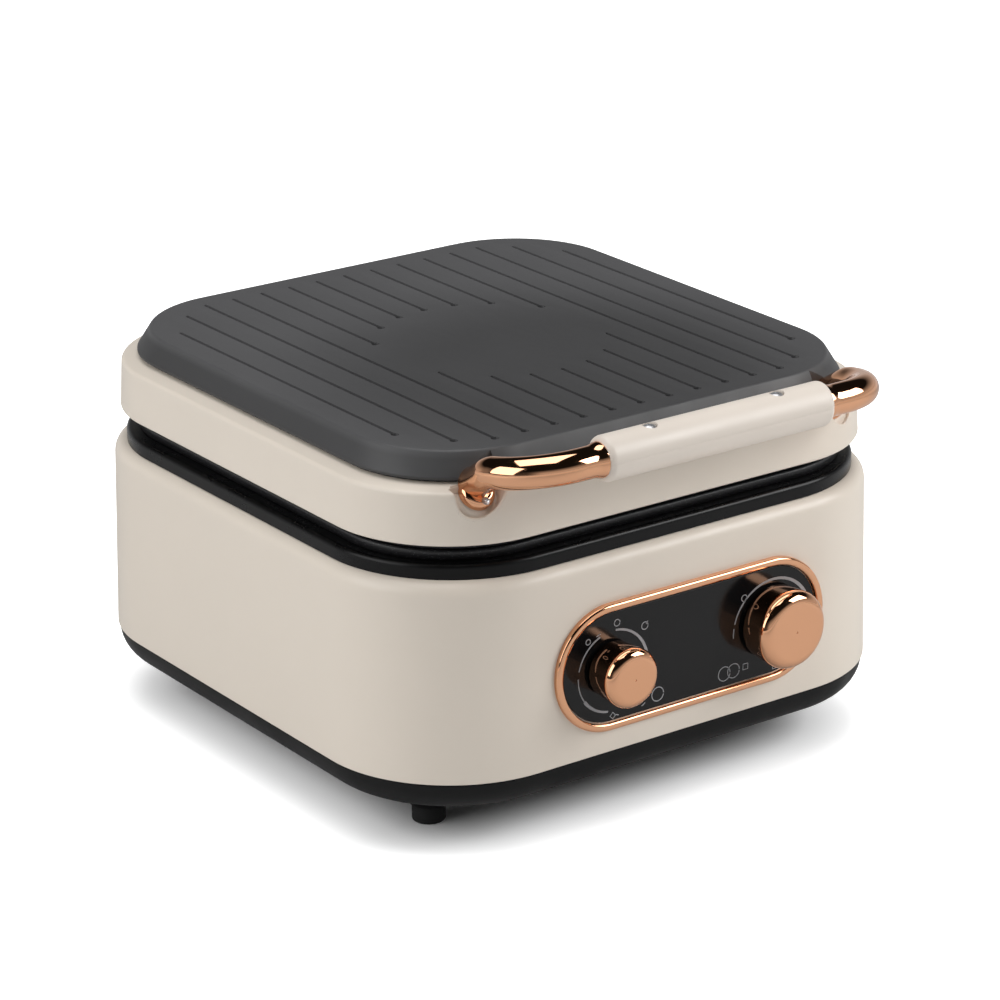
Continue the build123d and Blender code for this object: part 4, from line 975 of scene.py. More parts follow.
@dataclass
class Casing(Shell):
    """The base's painted wall, its tray and feet, and the black rims between base and lid."""

    corner: float = 63.4
    wall: float = 2.5
    bottom: float = 36.0
    top: float = 126.3
    draft: float = 1.27
    edge: float = 6.5
    opening: float = 12.0
    rim_inset: float = 6.0
    rim_corner: float = 62.0
    rim_height: float = 6.8
    rim_edge: float = 2.2
    opening_half: Pair = (117.0, 120.0)
    opening_corner: float = 27.0
    skirt: Triple = (12.15, 14.35, 6.0)
    hinge_x: float = 75.0
    hinge_land: float = 144.2
    hinge_pad: Triple = (19.0, 15.0, 101.0)
    inlet_seat: float = 144.4
    inlet_pad: Triple = (27.0, 15.0, 62.0)
    inlet_opening: Triple = (14.6, 10.85, 1.5)
    inlet_reach: Pair = (-12.0, 6.0)
    pad_depth: float = 4.0
    outline: Outline = field(default_factory=Outline)

    def wall_of(self, profile: np.ndarray, corner_at_zero: float) -> np.ndarray:
        """Carries a profile of (inset, height) round the casing, its corners concentric.

        Args:
            profile: The profile's points.
            corner_at_zero: The corner radius at no inset.

        Returns:
            The grid of points in the part's frame.
        """
        inset, height = profile[:, 0], profile[:, 1]
        return level().put(self.rings(inset, corner_at_zero - inset, height))

    def dress(self, wardrobe: Wardrobe, palette: Palette) -> None:
        """Builds the wall and rims and dresses them with the tray and feet."""
        lean = math.tan(math.radians(self.draft))
        rise = self.top - self.bottom
        inner_top = self.top - self.wall
        profile = round_corners(
            [
                (0, self.bottom),
                (rise * lean, self.top),
                (self.opening, self.top),
                (self.opening, inner_top),
                (self.wall + (inner_top - self.bottom) * lean, inner_top),
                (self.wall, self.bottom),
            ],
            [0.5, self.edge, 0.5, 0.3, self.edge - self.wall, 0.3],
            closed=True,
            steps=12,
            guard=0.3,
        )
        shell = Piece("base_wall").grid(self.wall_of(profile, self.corner), close_rows=True).build()
        carve(shell, self.inlet_hole("inlet_hole_in_wall"))
        wardrobe.place(shell, palette.cream_paint, Body.BASE, "base_shell")
        pads = Piece("base_pads")
        width, height, z = self.hinge_pad
        for side in SIDES:
            place = facing_rear(side * self.hinge_x, self.hinge_land, z)
            pads.grid(pad(place, width, height, self.pad_depth))
        width, height, z = self.inlet_pad
        pads.grid(pad(facing_rear(0, self.inlet_seat, z), width, height, self.pad_depth))
        raised = pads.build()
        carve(raised, self.inlet_hole("inlet_hole_in_pad"))
        wardrobe.place(raised, palette.cream_paint, Body.BASE)
        self.dress_rim(wardrobe, palette)
        wardrobe.smoothed(palette.black_plastic, "bottom_tray")
        wardrobe.smoothed(palette.rubber, "rubber_feet")
        wardrobe.smoothed(palette.black_paint, "upper_rim")

    def inlet_hole(self, name: str) -> bpy.types.Object:
        """The opening for the mains inlet: one rounded rectangle carried inwards."""
        width, height, radius = self.inlet_opening
        ring = Outline(6, 1).rings([width], [height], [radius], [0.0])
        place = facing_rear(0, self.inlet_seat, self.inlet_pad[2])
        return Piece(name).grid(place.put(prism(ring[0, :, :2], *self.inlet_reach))).build()

    def dress_rim(self, wardrobe: Wardrobe, palette: Palette) -> None:
        """Builds the lower rim: a flat ring with a soft outer edge, and the skirt below it."""
        low, high = self.top, self.top + self.rim_height
        outer = round_corners(
            [(self.rim_inset, low), (self.rim_inset, high), (self.rim_inset + 12, high)],
            [0, self.rim_edge, 0],
            steps=10,
            guard=0.2,
        )[:-1]
        inset, height = outer[:, 0], outer[:, 1]
        a = np.append(self.half_width - inset, [self.opening_half[0]] * 2)
        b = np.append(self.half_depth - inset, [self.opening_half[1]] * 2)
        r = np.append(self.rim_corner + self.rim_inset - inset, [self.opening_corner] * 2)
        h = np.append(height, [high, low])
        rim = Piece("rim_lip")
        rim.grid(level().put(self.outline.rings(a, b, r, h)), close_rows=True)
        near, far, drop = self.skirt
        skirt = np.array([(near, low), (near, low - drop), (far, low - drop), (far, low)])
        rim.grid(self.wall_of(skirt, self.corner), close_rows=True)
        wardrobe.place(rim.build(), palette.black_paint, Body.BASE, "lower_rim")


@dataclass
class Scoop:
    """The soft hollow that a handle root stands in: a leaning half round, open uphill and flat at the back.

    Attributes:
        lip: How wide its rounded lip is.
        foot: The radius between its floor and its wall.
        climb: How high the rounding there goes, as a share of that radius.
        sunk: How deep its floor lies below the lid's surface at the least.
        ease: How softly the floor gives way to that depth, in square millimetres.
        uphill: How far its sides are drawn up the slope.
        rear_wall: The heights between which its rear wall stands.
    """

    x: float = 96.5
    y: float = -129.8
    z: float = 164.7
    depth: float = 4.8
    radius: float = 10.3
    reach: float = 30.0
    back: float = -124.2
    lean: float = 45.0
    lip: float = 1.4
    foot: float = 1.4
    climb: float = 0.8
    sunk: float = 2.8
    ease: float = 2.5
    uphill: float = 12.0
    rear_wall: Pair = (158.0, 166.8)

    def place(self, side: int) -> Placement:
        """The plane of a handle's flange: third direction along the lean."""
        return leaning(side * self.x, self.y, self.z, self.lean)

    def cutter(self, name: str, grow: float = 0.0, sink: float = 0.0) -> bpy.types.Object:
        """Both hollows as one solid: P(s, t) = U-shaped outline(s) carried along the leaning direction(t).

        Args:
            name: The solid's name.
            grow: How much wider than the hollow it is.
            sink: How much deeper it is.

        Returns:
            The solid, cut off at its back.
        """
        radius = self.radius + grow
        turn = np.linspace(math.pi, 2 * math.pi, 65)
        bend = np.stack([np.cos(turn), np.sin(turn)], axis=-1) * radius
        line = np.vstack([bend, [(radius, self.reach), (-radius, self.reach)]])
        rows = prism(line, -self.depth - sink, self.reach, radius)
        solid = Piece(name)
        for side in SIDES:
            solid.grid(self.place(side).put(rows))
        made = solid.build()
        cut_flat(made, (0, BODY_Y + self.back, 0), (0, 1, 0))
        return made

    def cover_of(self, across: np.ndarray, uphill: np.ndarray, skin: np.ndarray) -> np.ndarray:
        """How high along the lean a skin of rings lies over points of the flange's plane.

        A ring's front at x is y = -(b - r + sqrt(r^2 - max(|x| - a + r, 0)^2)). The line over a point meets
        the skin where its own y passes that of the ring of the same height.

        Args:
            across: The points' distances from the lid's middle.
            uphill: Their distances up the slope.
            skin: Rows of the rings' half widths, half depths, corner radii and heights.

        Returns:
            Heights of the same shape.
        """
        sine, cosine = math.sin(math.radians(self.lean)), math.cos(math.radians(self.lean))
        a, b, r, z = skin
        out = np.maximum(across[..., None] - a + r, 0)
        front = r - b - np.sqrt(np.maximum(r**2 - out**2, 0))
        height = (z - self.z - uphill[..., None] * sine) / cosine
        gap = self.y + uphill[..., None] * cosine - height * sine - front
        last = np.clip(np.argmax(gap < 0, axis=-1), 1, len(z) - 1)[..., None]
        after, before = np.take_along_axis(gap, last, -1), np.take_along_axis(gap, last - 1, -1)
        top, low = np.take_along_axis(height, last, -1), np.take_along_axis(height, last - 1, -1)
        return (low + (top - low) * before / (before - after))[..., 0]

    def pocket(self, name: str, skin: np.ndarray) -> bpy.types.Object:
        """The hollows' own faces: P(s, k) = C(s) + d(k) N(s) in the flange's plane, at a height h(s, k).

        C is the U-shaped outline and N points out of it. The floor is flat. A quarter round leads up to the
        wall, and another from the wall to the lid's surface H: h = H - l (1 - sin g) at d = l (1 - cos g).
        Where the floor u nears the sunk surface v, it passes below it: (u + v - sqrt((u - v)^2 + e)) / 2.

        Args:
            name: The object's name.
            skin: The lid's outer rings.

        Returns:
            The faces, open uphill.
        """
        turn = np.linspace(math.pi, 2 * math.pi, 65)
        climb = np.linspace(0, self.uphill, 15)[1:]
        bend = np.stack([np.cos(turn), np.sin(turn)], axis=-1)
        normal = np.concatenate([[[-1.0, 0.0]] * len(climb), bend, [[1.0, 0.0]] * len(climb)])
        start = np.concatenate([climb[::-1], 0 * turn, climb])
        quarter = np.linspace(0, math.pi / 2, 8)
        flat = np.linspace(-self.radius, -self.foot, 9)[:-1]
        inner = np.concatenate([flat, self.foot * (np.sin(quarter) - 1)])
        outer = self.lip * (1 - np.cos(quarter))
        away = np.concatenate([inner, outer])[:, None]
        across = (self.radius + away) * normal[:, 0]
        along = start + (self.radius + away) * normal[:, 1]
        pieces = Piece(name)
        for side in SIDES:
            over = self.cover_of(self.x + side * across, along, skin)
            under = over[: len(inner)] - self.sunk
            floor = (under - self.depth - np.sqrt((under + self.depth) ** 2 + self.ease)) / 2
            rounding = np.concatenate([0 * flat, 1 - np.cos(quarter)])[:, None]
            low = floor + self.foot * self.climb * rounding
            room = over[len(inner)] - low[-1]
            high = over[len(inner) :] - np.minimum(self.lip, room) * (1 - np.sin(quarter))[:, None]
            grid = np.stack([across, along, np.vstack([low, high])], axis=-1)
            pieces.grid(self.place(side).put(grid), close_columns=False)
        made = pieces.build(Shading.SOFT)
        cut_flat(made, (0, BODY_Y + self.back + 0.3, 0), (0, 1, 0), close=False)
        face_towards(made.data, (0.0, -1.0, 1.0))
        return made

    def rear(self, name: str) -> bpy.types.Object:
        """The hollows' flat rear walls: P(u, v) = (x + u, y, v)."""
        walls = Piece(name)
        across, up = np.meshgrid(np.linspace(-self.radius, self.radius, 7), self.rear_wall)
        for side in SIDES:
            grid = np.stack([side * self.x + across, 0 * across + BODY_Y + self.back + 0.25, up], axis=-1)
            walls.grid(grid, close_columns=False)
        made = walls.build()
        face_towards(made.data, (0.0, -1.0, 0.0))
        return made


@dataclass
class Lid(Shell):
    """The lid's painted shell with its soft shoulder, and the scoops for the handle's roots."""

    bottom: float = 141.9
    inset: float = 5.2
    corner: float = 58.4
    draft: float = 3.1
    shoulder: float = 164.9
    shoulder_edge: float = 2.2
    rim: float = 166.9
    rim_inset: float = 15.9
    rim_corner: float = 50.0
    edge: float = 1.2
    wall: float = 2.5
    roof: float = 2.0
    ledge: float = 165.0
    opening: float = 20.0
    opening_corner: float = 46.0
    hinge_x: float = 75.0
    arm_land: float = 139.5
    arm_pad: Triple = (14.0, 8.25, 153.75)
    pad_depth: float = 3.5
    scoop_cut: float = 9.0

    def dress(self, wardrobe: Wardrobe, palette: Palette) -> None:
        """Builds the shell, carves the scoops and dresses it.

        The corner radius follows the inset: concentric on the wall, then slower up the shoulder.
        """
        lean = math.tan(math.radians(self.draft))
        at_shoulder = self.inset + (self.shoulder - self.bottom) * lean
        roof = self.shoulder - self.roof
        profile = round_corners(
            [
                (self.inset, self.bottom),
                (at_shoulder, self.shoulder),
                (self.rim_inset, self.rim),
                (self.rim_inset, self.ledge),
                (self.opening, self.ledge),
                (self.opening, roof),
                (self.inset + self.wall + (roof - self.bottom) * lean, roof),
                (self.inset + self.wall, self.bottom),
            ],
            [self.edge, self.shoulder_edge, 0.4, 0, 0, 0, 0, 0.3],
            closed=True,
            steps=10,
            guard=0.25,
        )
        inset, height = profile[:, 0], profile[:, 1]
        corner = np.interp(
            inset,
            [self.inset, at_shoulder, self.rim_inset, self.opening],
            [self.corner, self.corner - (at_shoulder - self.inset), self.rim_corner, self.opening_corner],
        )
        rings = self.rings(inset, corner, height)
        shell = Piece("lid_wall").grid(level().put(rings), close_rows=True).build()
        scoop = Scoop()
        carve(shell, scoop.cutter("scoop_in_lid", scoop.lip, self.scoop_cut))
        wardrobe.place(shell, palette.cream_paint, Body.LID, "lid_shell")
        outside = np.flatnonzero((inset < self.rim_inset - 0.01) & (height > roof))
        line = np.array([inset, corner, height])[:, [np.argmin(inset), *outside]]
        line = np.column_stack([line, [self.rim_inset + 20, self.rim_corner, self.rim]])
        skin = np.array([self.half_width - line[0], self.half_depth - line[0], *line[1:]])
        for made in (scoop.pocket("lid_scoops", skin), scoop.rear("lid_scoop_rears")):
            wardrobe.place(made, palette.cream_paint, Body.LID)
        pads = Piece("lid_hinge_pads")
        width, rise, z = self.arm_pad
        for side in SIDES:
            pads.grid(pad(facing_rear(side * self.hinge_x, self.arm_land, z), width, rise, self.pad_depth))
        wardrobe.place(pads.build(), palette.cream_paint, Body.LID)


@dataclass
class Cover(Shell):
    """The dark cover: a sloped rim round a top with long grooves and gently crowned strips between them."""

    spigot_inset: float = 16.05
    spigot_corner: float = 50.0
    ledge: float = 165.0
    bottom: float = 168.1
    side: float = 1.2
    top: float = 179.3
    inset: float = 13.5
    corner: float = 51.0
    top_inset: float = 18.6
    top_corner: float = 49.0
    edge: float = 1.6
    pitch: float = 15.45
    count: int = 15
    groove_width: float = 1.9
    groove_depth: float = 1.4
    front: float = 117.0
    rear: float = 115.0
    second: Pair = (109.0, 106.0)
    outer: Pair = (88.0, 86.0)
    pit_radius: float = 1.9
    pit_depth: float = 2.3
    round_radius: float = 52.0
    round_y: float = -6.0
    crown: float = 0.28
    fade: float = 9.0
    clearance: float = 2.2

    def grooves(self) -> list[Triple]:
        """Every groove as x, front end and rear end, broken where it would cross the bare round."""
        found = []
        half = self.count // 2
        spans = {half: self.outer, half - 1: self.second}
        for index in range(-half, half + 1):
            x = index * self.pitch
            front, rear = spans.get(abs(index), (self.front, self.rear))
            if abs(x) >= self.round_radius:
                found.append((x, -front, rear))
                continue
            gap = math.sqrt(self.round_radius**2 - x**2)
            found.append((x, -front, self.round_y - gap))
            found.append((x, self.round_y + gap, rear))
        return found

    def height(self, x: np.ndarray, y: np.ndarray) -> np.ndarray:
        """The top's height: full, less a shallow dip c cos(pi x / pitch)^2 towards each groove.

        The dip fades out towards the cover's edge and towards the bare round.

        Args:
            x: Across the cover.
            y: Along the cover, from its middle.

        Returns:
            Heights of the same shape.
        """
        a, b = self.half_width - self.top_inset, self.half_depth - self.top_inset
        out_x = np.maximum(np.abs(x) - (a - self.top_corner), 0)
        out_y = np.maximum(np.abs(y) - (b - self.top_corner), 0)
        from_edge = self.top_corner - np.hypot(out_x, out_y)
        from_round = np.hypot(x, y - self.round_y) - self.round_radius
        share = np.clip((from_edge - 6) / self.fade, 0, 1) * np.clip(from_round / self.fade + 0.6, 0, 1)
        smooth = share * share * (3 - 2 * share)
        return self.top - self.crown * smooth * np.cos(math.pi * x / self.pitch) ** 2

    def groove(self, x: float, front: float, rear: float) -> tuple[np.ndarray, np.ndarray]:
        """One groove: P(t, u) = (x + w(t) u, y(t), top - d(t) (1 - u^4)), with a round pit at its front end.

        Args:
            x: The groove's place across the cover.
            front: Its front end.
            rear: Its rear end.

        Returns:
            The grid of points from the casing's middle, and the outline of its mouth.
        """
        half, pit = self.groove_width / 2, self.pit_radius
        neck = front + pit + math.sqrt(pit**2 - half**2)
        turn = np.linspace(0, math.pi - math.asin(half / pit), 11)
        ends = np.linspace(0, math.pi / 2, 5)
        straight = np.linspace(neck, rear - half, max(4, round((rear - neck) / 5)))[1:]
        ends_y = rear - half + half * np.sin(ends[1:])
        y = np.concatenate([front + pit - pit * np.cos(turn), straight, ends_y])
        w = np.concatenate([pit * np.sin(turn), half + 0 * straight, half * np.cos(ends[1:])])
        depth = np.where(y < neck + 0.01, self.pit_depth, self.groove_depth)
        depth = depth * np.clip(w / half, 0, 1) ** 0.5
        u = np.linspace(-1, 1, 9)
        across = x + w[:, None] * u
        along = np.broadcast_to(y[:, None], across.shape)
        down = self.height(across, along) - depth[:, None] * (1 - u**4)
        grid = np.stack([across, along, down], axis=-1)
        mouth = np.vstack([grid[:, 0, :2], grid[-2:0:-1, -1, :2]])
        return grid, mouth

    def flat_part(self, loop: np.ndarray) -> tuple[np.ndarray, np.ndarray, list[np.ndarray]]:
        """The top inside its edge: triangles between the edge, the grooves' mouths and points on the strips.

        Args:
            loop: The outline that the sloped rim ends in.

        Returns:
            The points, the triangles between them and the grooves' own grids.
        """
        built = [self.groove(*span) for span in self.grooves()]
        loops = [loop, *(mouth for _, mouth in built)]
        starts = np.cumsum([0] + [len(line) for line in loops])
        edges = [
            pair
            for start, line in zip(starts, loops)
            for pair in zip(range(start, start + len(line)), [*range(start + 1, start + len(line)), start])
        ]
        inset = self.top_inset + 7
        a, b, r = self.half_width - inset, self.half_depth - inset, self.top_corner - 7
        strip = (np.arange(-self.count * 3, self.count * 3 + 1) + 0.5) * self.pitch / 6
        across, along = np.meshgrid(strip[np.abs(strip) < a], np.arange(-b, b, 4.0))
        free = np.stack([across.ravel(), along.ravel()], axis=-1)
        out = np.maximum(np.abs(free) - np.array([a - r, b - r]), 0)
        free = free[np.hypot(out[:, 0], out[:, 1]) < r]
        pitches = free[:, 0] / self.pitch
        free = free[np.abs(pitches - np.round(pitches)) * self.pitch >= self.clearance]
        flat = np.vstack([*loops, free])
        verts, _, faces, *_ = delaunay_2d_cdt([Vector(point) for point in flat.tolist()], edges, [], 0, 1e-6)
        points = np.array([tuple(v) for v in verts])
        corners = np.array([face for face in faces if len(face) == 3])
        middle = points[corners].mean(axis=1)
        inside = np.zeros(len(corners), bool)
        for x, front, rear in self.grooves():
            beside = np.abs(middle[:, 0] - x)
            slot = (beside < self.groove_width / 2) & (middle[:, 1] > front) & (middle[:, 1] < rear)
            pit = np.hypot(beside, middle[:, 1] - front - self.pit_radius) < self.pit_radius * 0.995
            inside |= (slot & (middle[:, 1] > front + self.pit_radius)) | pit
        solid = np.column_stack([points, self.height(points[:, 0], points[:, 1])])
        return solid, corners[~inside], [grid for grid, _ in built]

    def dress(self, wardrobe: Wardrobe, palette: Palette) -> None:
        """Builds the cover, notches it for the handle's roots and dresses it."""
        profile = round_corners(
            [
                (self.spigot_inset, self.ledge),
                (self.spigot_inset, self.bottom),
                (self.inset, self.bottom),
                (self.inset, self.bottom + self.side),
                (self.top_inset, self.top),
                (self.top_inset + 6, self.top),
            ],
            [0, 0, 0.3, 0.5, self.edge, 0],
            steps=8,
            guard=0.1,
        )
        inset, height = profile[:, 0], profile[:, 1]
        corner = np.interp(
            inset,
            [self.inset, self.top_inset, self.top_inset + 6],
            [self.corner, self.top_corner, self.top_corner - 6],
        )
        corner = np.where(height <= self.bottom, self.spigot_corner + self.spigot_inset - inset, corner)
        rings = self.rings(inset, corner, height)
        floor = rings[:1] * np.array([0.0, 0.0, 1.0])
        cover = Piece("cover_top")
        cover.grid(level().put(np.concatenate([floor, rings])))
        points, corners, grids = self.flat_part(rings[-1, :, :2])
        cover.triangles(level().put(points), corners)
        for grid in grids:
            cover.grid(level().put(grid), close_columns=False)
        made = cover.build()
        carve(made, Scoop().cutter("scoop_in_cover"))
        wardrobe.place(made, palette.cover, Body.LID, "lid_cover")


@dataclass
class CrossScrew:
    """A screw head with a cross-shaped recess.

    Attributes:
        radius: The head's radius.
        rise: The head's height.
        dome: How much of the height is the dome.
        floor: How high the recess's floor lies, as a share of the height.
        arm: How far the recess's arms reach and how wide they are, as shares of the radius.
    """

    radius: float = 3.0
    rise: float = 2.0
    dome: float = 0.9
    floor: float = 0.35
    arm: Pair = (0.66, 0.16)

    def build(self, name: str, places: list[Placement], shank: float) -> bpy.types.Object:
        """Heads and shanks at some places.

        The dome is a turned curve: height = rise - dome (r / radius)^2.5.

        Args:
            name: The object's name.
            places: Where the heads' seats are, the third direction outwards.
            shank: The shank's length.

        Returns:
            The object.
        """
        r = np.concatenate([np.linspace(0, 1, 9) * self.radius, [self.radius, 0.5 * self.radius]])
        h = self.rise - self.dome * (r / self.radius) ** 2.5
        h[-2:] = 0
        r = np.append(r, [0.5 * self.radius, 0])
        h = np.append(h, [-shank, -shank])
        heads, cross = Piece(name), Piece(f"{name}_cross")
        far, near = self.arm
        quarter = np.array([(far, -near), (far, near), (near, near)]) * self.radius
        turn = np.array([[0.0, 1.0], [-1.0, 0.0]])
        plus = np.vstack([quarter @ np.linalg.matrix_power(turn, power) for power in range(4)])
        recess = prism(plus, self.floor * self.rise, self.rise + 1, foot=0.8)
        for place in places:
            heads.grid(turned(place, r, h, 40))
            cross.grid(place.put(recess))
        made = heads.build()
        carve(made, cross.build())
        return made


@dataclass
class Handle(Assembly):
    """The tube handle: two bent copper arms on round flanges, and an oval grip clamped between them."""

    grip_length: float = 120.0
    grip_width: float = 19.0
    grip_height: float = 20.0
    grip_edge: float = 2.6
    seam: float = 0.22
    grip_y: float = -164.2
    grip_z: float = 180.1
    tube: float = 7.0
    flare: float = 7.8
    flare_length: float = 5.0
    knee: Triple = (96.6, -138.7, 175.0)
    elbow_x: float = 92.6
    knee_bend: float = 12.0
    elbow_bend: float = 24.5
    flange: Triple = (95.6, -129.6, 165.0)
    flange_radius: float = 7.8
    flange_thickness: float = 4.9
    lean: float = 45.0
    foot: float = 3.2
    sunk: float = 2.4
    swell: Pair = (0.5, 3.0)
    screw_offset: float = 5.9
    screw_x: float = 34.0
    recess: float = 3.5
    screw_rise: float = 2.0
    spigot: float = 5.5
    spigot_length: float = 34.0

    def seat(self, side: int, fall: float) -> Placement:
        """The flange's top, moved down its slope: third direction off its face."""
        slope = math.radians(self.lean)
        x, y, z = self.flange
        return leaning(side * x, y - math.cos(slope) * fall, z - math.sin(slope) * fall, self.lean)

    def arm(self, side: int) -> bpy.types.Object:
        """One arm: a tube along a rounded line whose radius swells at the foot and flares at the grip.

        Args:
            side: -1 for the left arm and 1 for the right.

        Returns:
            The arm with its flange and the spigot in the grip.
        """
        seat = self.seat(side, -self.foot)
        root = np.array(seat.origin)
        knee = np.array([side * self.knee[0], BODY_Y + self.knee[1], self.knee[2]])
        elbow = np.array([side * self.elbow_x, BODY_Y + self.grip_y, self.grip_z])
        end = np.array([side * self.grip_length / 2, BODY_Y + self.grip_y, self.grip_z])
        start = root - unit(knee - root) * self.sunk
        line = [tuple(start), tuple(knee), tuple(elbow), tuple(end)]
        path = even_steps(round_corners(line, [0, self.knee_bend, self.elbow_bend, 0], steps=40), 0.7)
        run = np.concatenate([[0], np.cumsum(np.linalg.norm(np.diff(path, axis=0), axis=1))])
        left = run[-1] - run
        swell, fade = self.swell
        radius = self.tube + swell * np.exp(-((run / fade) ** 2))
        flare = np.clip(1 - left / self.flare_length, 0, 1)
        radius = radius + (self.flare - self.tube) * flare * flare * (3 - 2 * flare)
        away = np.array([0.0, 0.76, 0.65])
        arm = Piece("copper_arm_left" if side < 0 else "copper_arm_right")
        arm.grid(along_path(path, radius, away, 56))
        edge = round_corners(
            [
                (0, -self.flange_thickness),
                (self.flange_radius, -self.flange_thickness),
                (self.flange_radius, 0),
                (0, 0),
            ],
            [0, 0.3, 2.6, 0],
            steps=10,
            guard=0.1,
        )
        arm.grid(turned(self.seat(side, 0), edge[:, 0], edge[:, 1], 72))
        inner = end - np.array([side * self.spigot_length, 0, 0])
        spigot = even_steps(np.array([end, inner]), 8.0)
        arm.grid(along_path(spigot, self.spigot + 0 * spigot[:, 0], away, 40))
        return arm.build(Shading.SOFT)

    def grip_half(self, name: str, upper: bool) -> bpy.types.Object:
        """Half of the grip: P(x, k) = (x, (w / 2 - f(x)) cos k, (h / 2 - f(x)) sin k), flat at the parting.

        f(x) = e - sqrt(e^2 - (e - d)^2) rounds the ends, where d is the distance from the end.

        Args:
            name: The half's name.
            upper: Whether it is the upper half.

        Returns:
            The half.
        """
        e = self.grip_edge
        turn = np.linspace(0, math.pi / 2, 9)
        near = e - e * np.cos(turn)
        half = self.grip_length / 2
        x = np.concatenate([near - half, np.linspace(e + 0.4 - half, half - e - 0.4, 28), half - near[::-1]])
        d = np.minimum(half - np.abs(x), e)
        f = e - np.sqrt(np.maximum(e**2 - (e - d) ** 2, 0))
        angle = np.linspace(0, math.pi, 41)
        a = (self.grip_width / 2 - f)[:, None]
        b = (self.grip_height / 2 - f)[:, None]
        across = a * np.cos(angle)
        up = np.maximum(b * np.sin(angle), 0.0)
        across = across - np.sign(across) * self.seam * np.maximum(1 - up / self.seam, 0)
        points = np.stack([np.broadcast_to(x[:, None], across.shape), across, up if upper else -up], axis=-1)
        ends = points[[0, -1]].copy()
        ends[:, :, 1:] = 0
        points = np.concatenate([ends[:1], points, ends[1:]])
        made = Piece(name)
        made.grid(level(0, self.grip_y, self.grip_z).put(points))
        return made.build()

    def dress(self, wardrobe: Wardrobe, palette: Palette) -> None:
        """Builds the arms, the grip and the screws and dresses them."""
        for side, node in ((-1, "handle_arm_left"), (1, "handle_arm_right")):
            wardrobe.place(self.arm(side), palette.copper, Body.LID, node)
        upper = self.grip_half("grip_top_half", True)
        wells = Piece("screw_wells")
        seat = self.grip_height / 2 - self.screw_rise - 0.15
        for x in (-self.screw_x, self.screw_x):
            place = level(x, self.grip_y, self.grip_z)
            wells.grid(turned(place, [0, self.recess, self.recess, 0], [seat, seat, 20, 20], 48))
        carve(upper, wells.build())
        wardrobe.place(upper, palette.cream_plastic, Body.LID, "grip_upper")
        lower = self.grip_half("grip_bottom_half", False)
        wardrobe.place(lower, palette.cream_plastic, Body.LID, "grip_lower")
        places = [level(x, self.grip_y, self.grip_z + seat) for x in (-self.screw_x, self.screw_x)]
        screws = CrossScrew().build("grip_cross_screws", places, 12.0)
        wardrobe.place(screws, palette.frosted_steel, Body.LID, "grip_screws")
        roots = [self.seat(side, self.screw_offset) for side in SIDES]
        small = CrossScrew(1.8, 0.7, 0.35).build("root_cross_screws", roots, 3.0)
        wardrobe.place(small, palette.zinc, Body.LID, "root_screws")


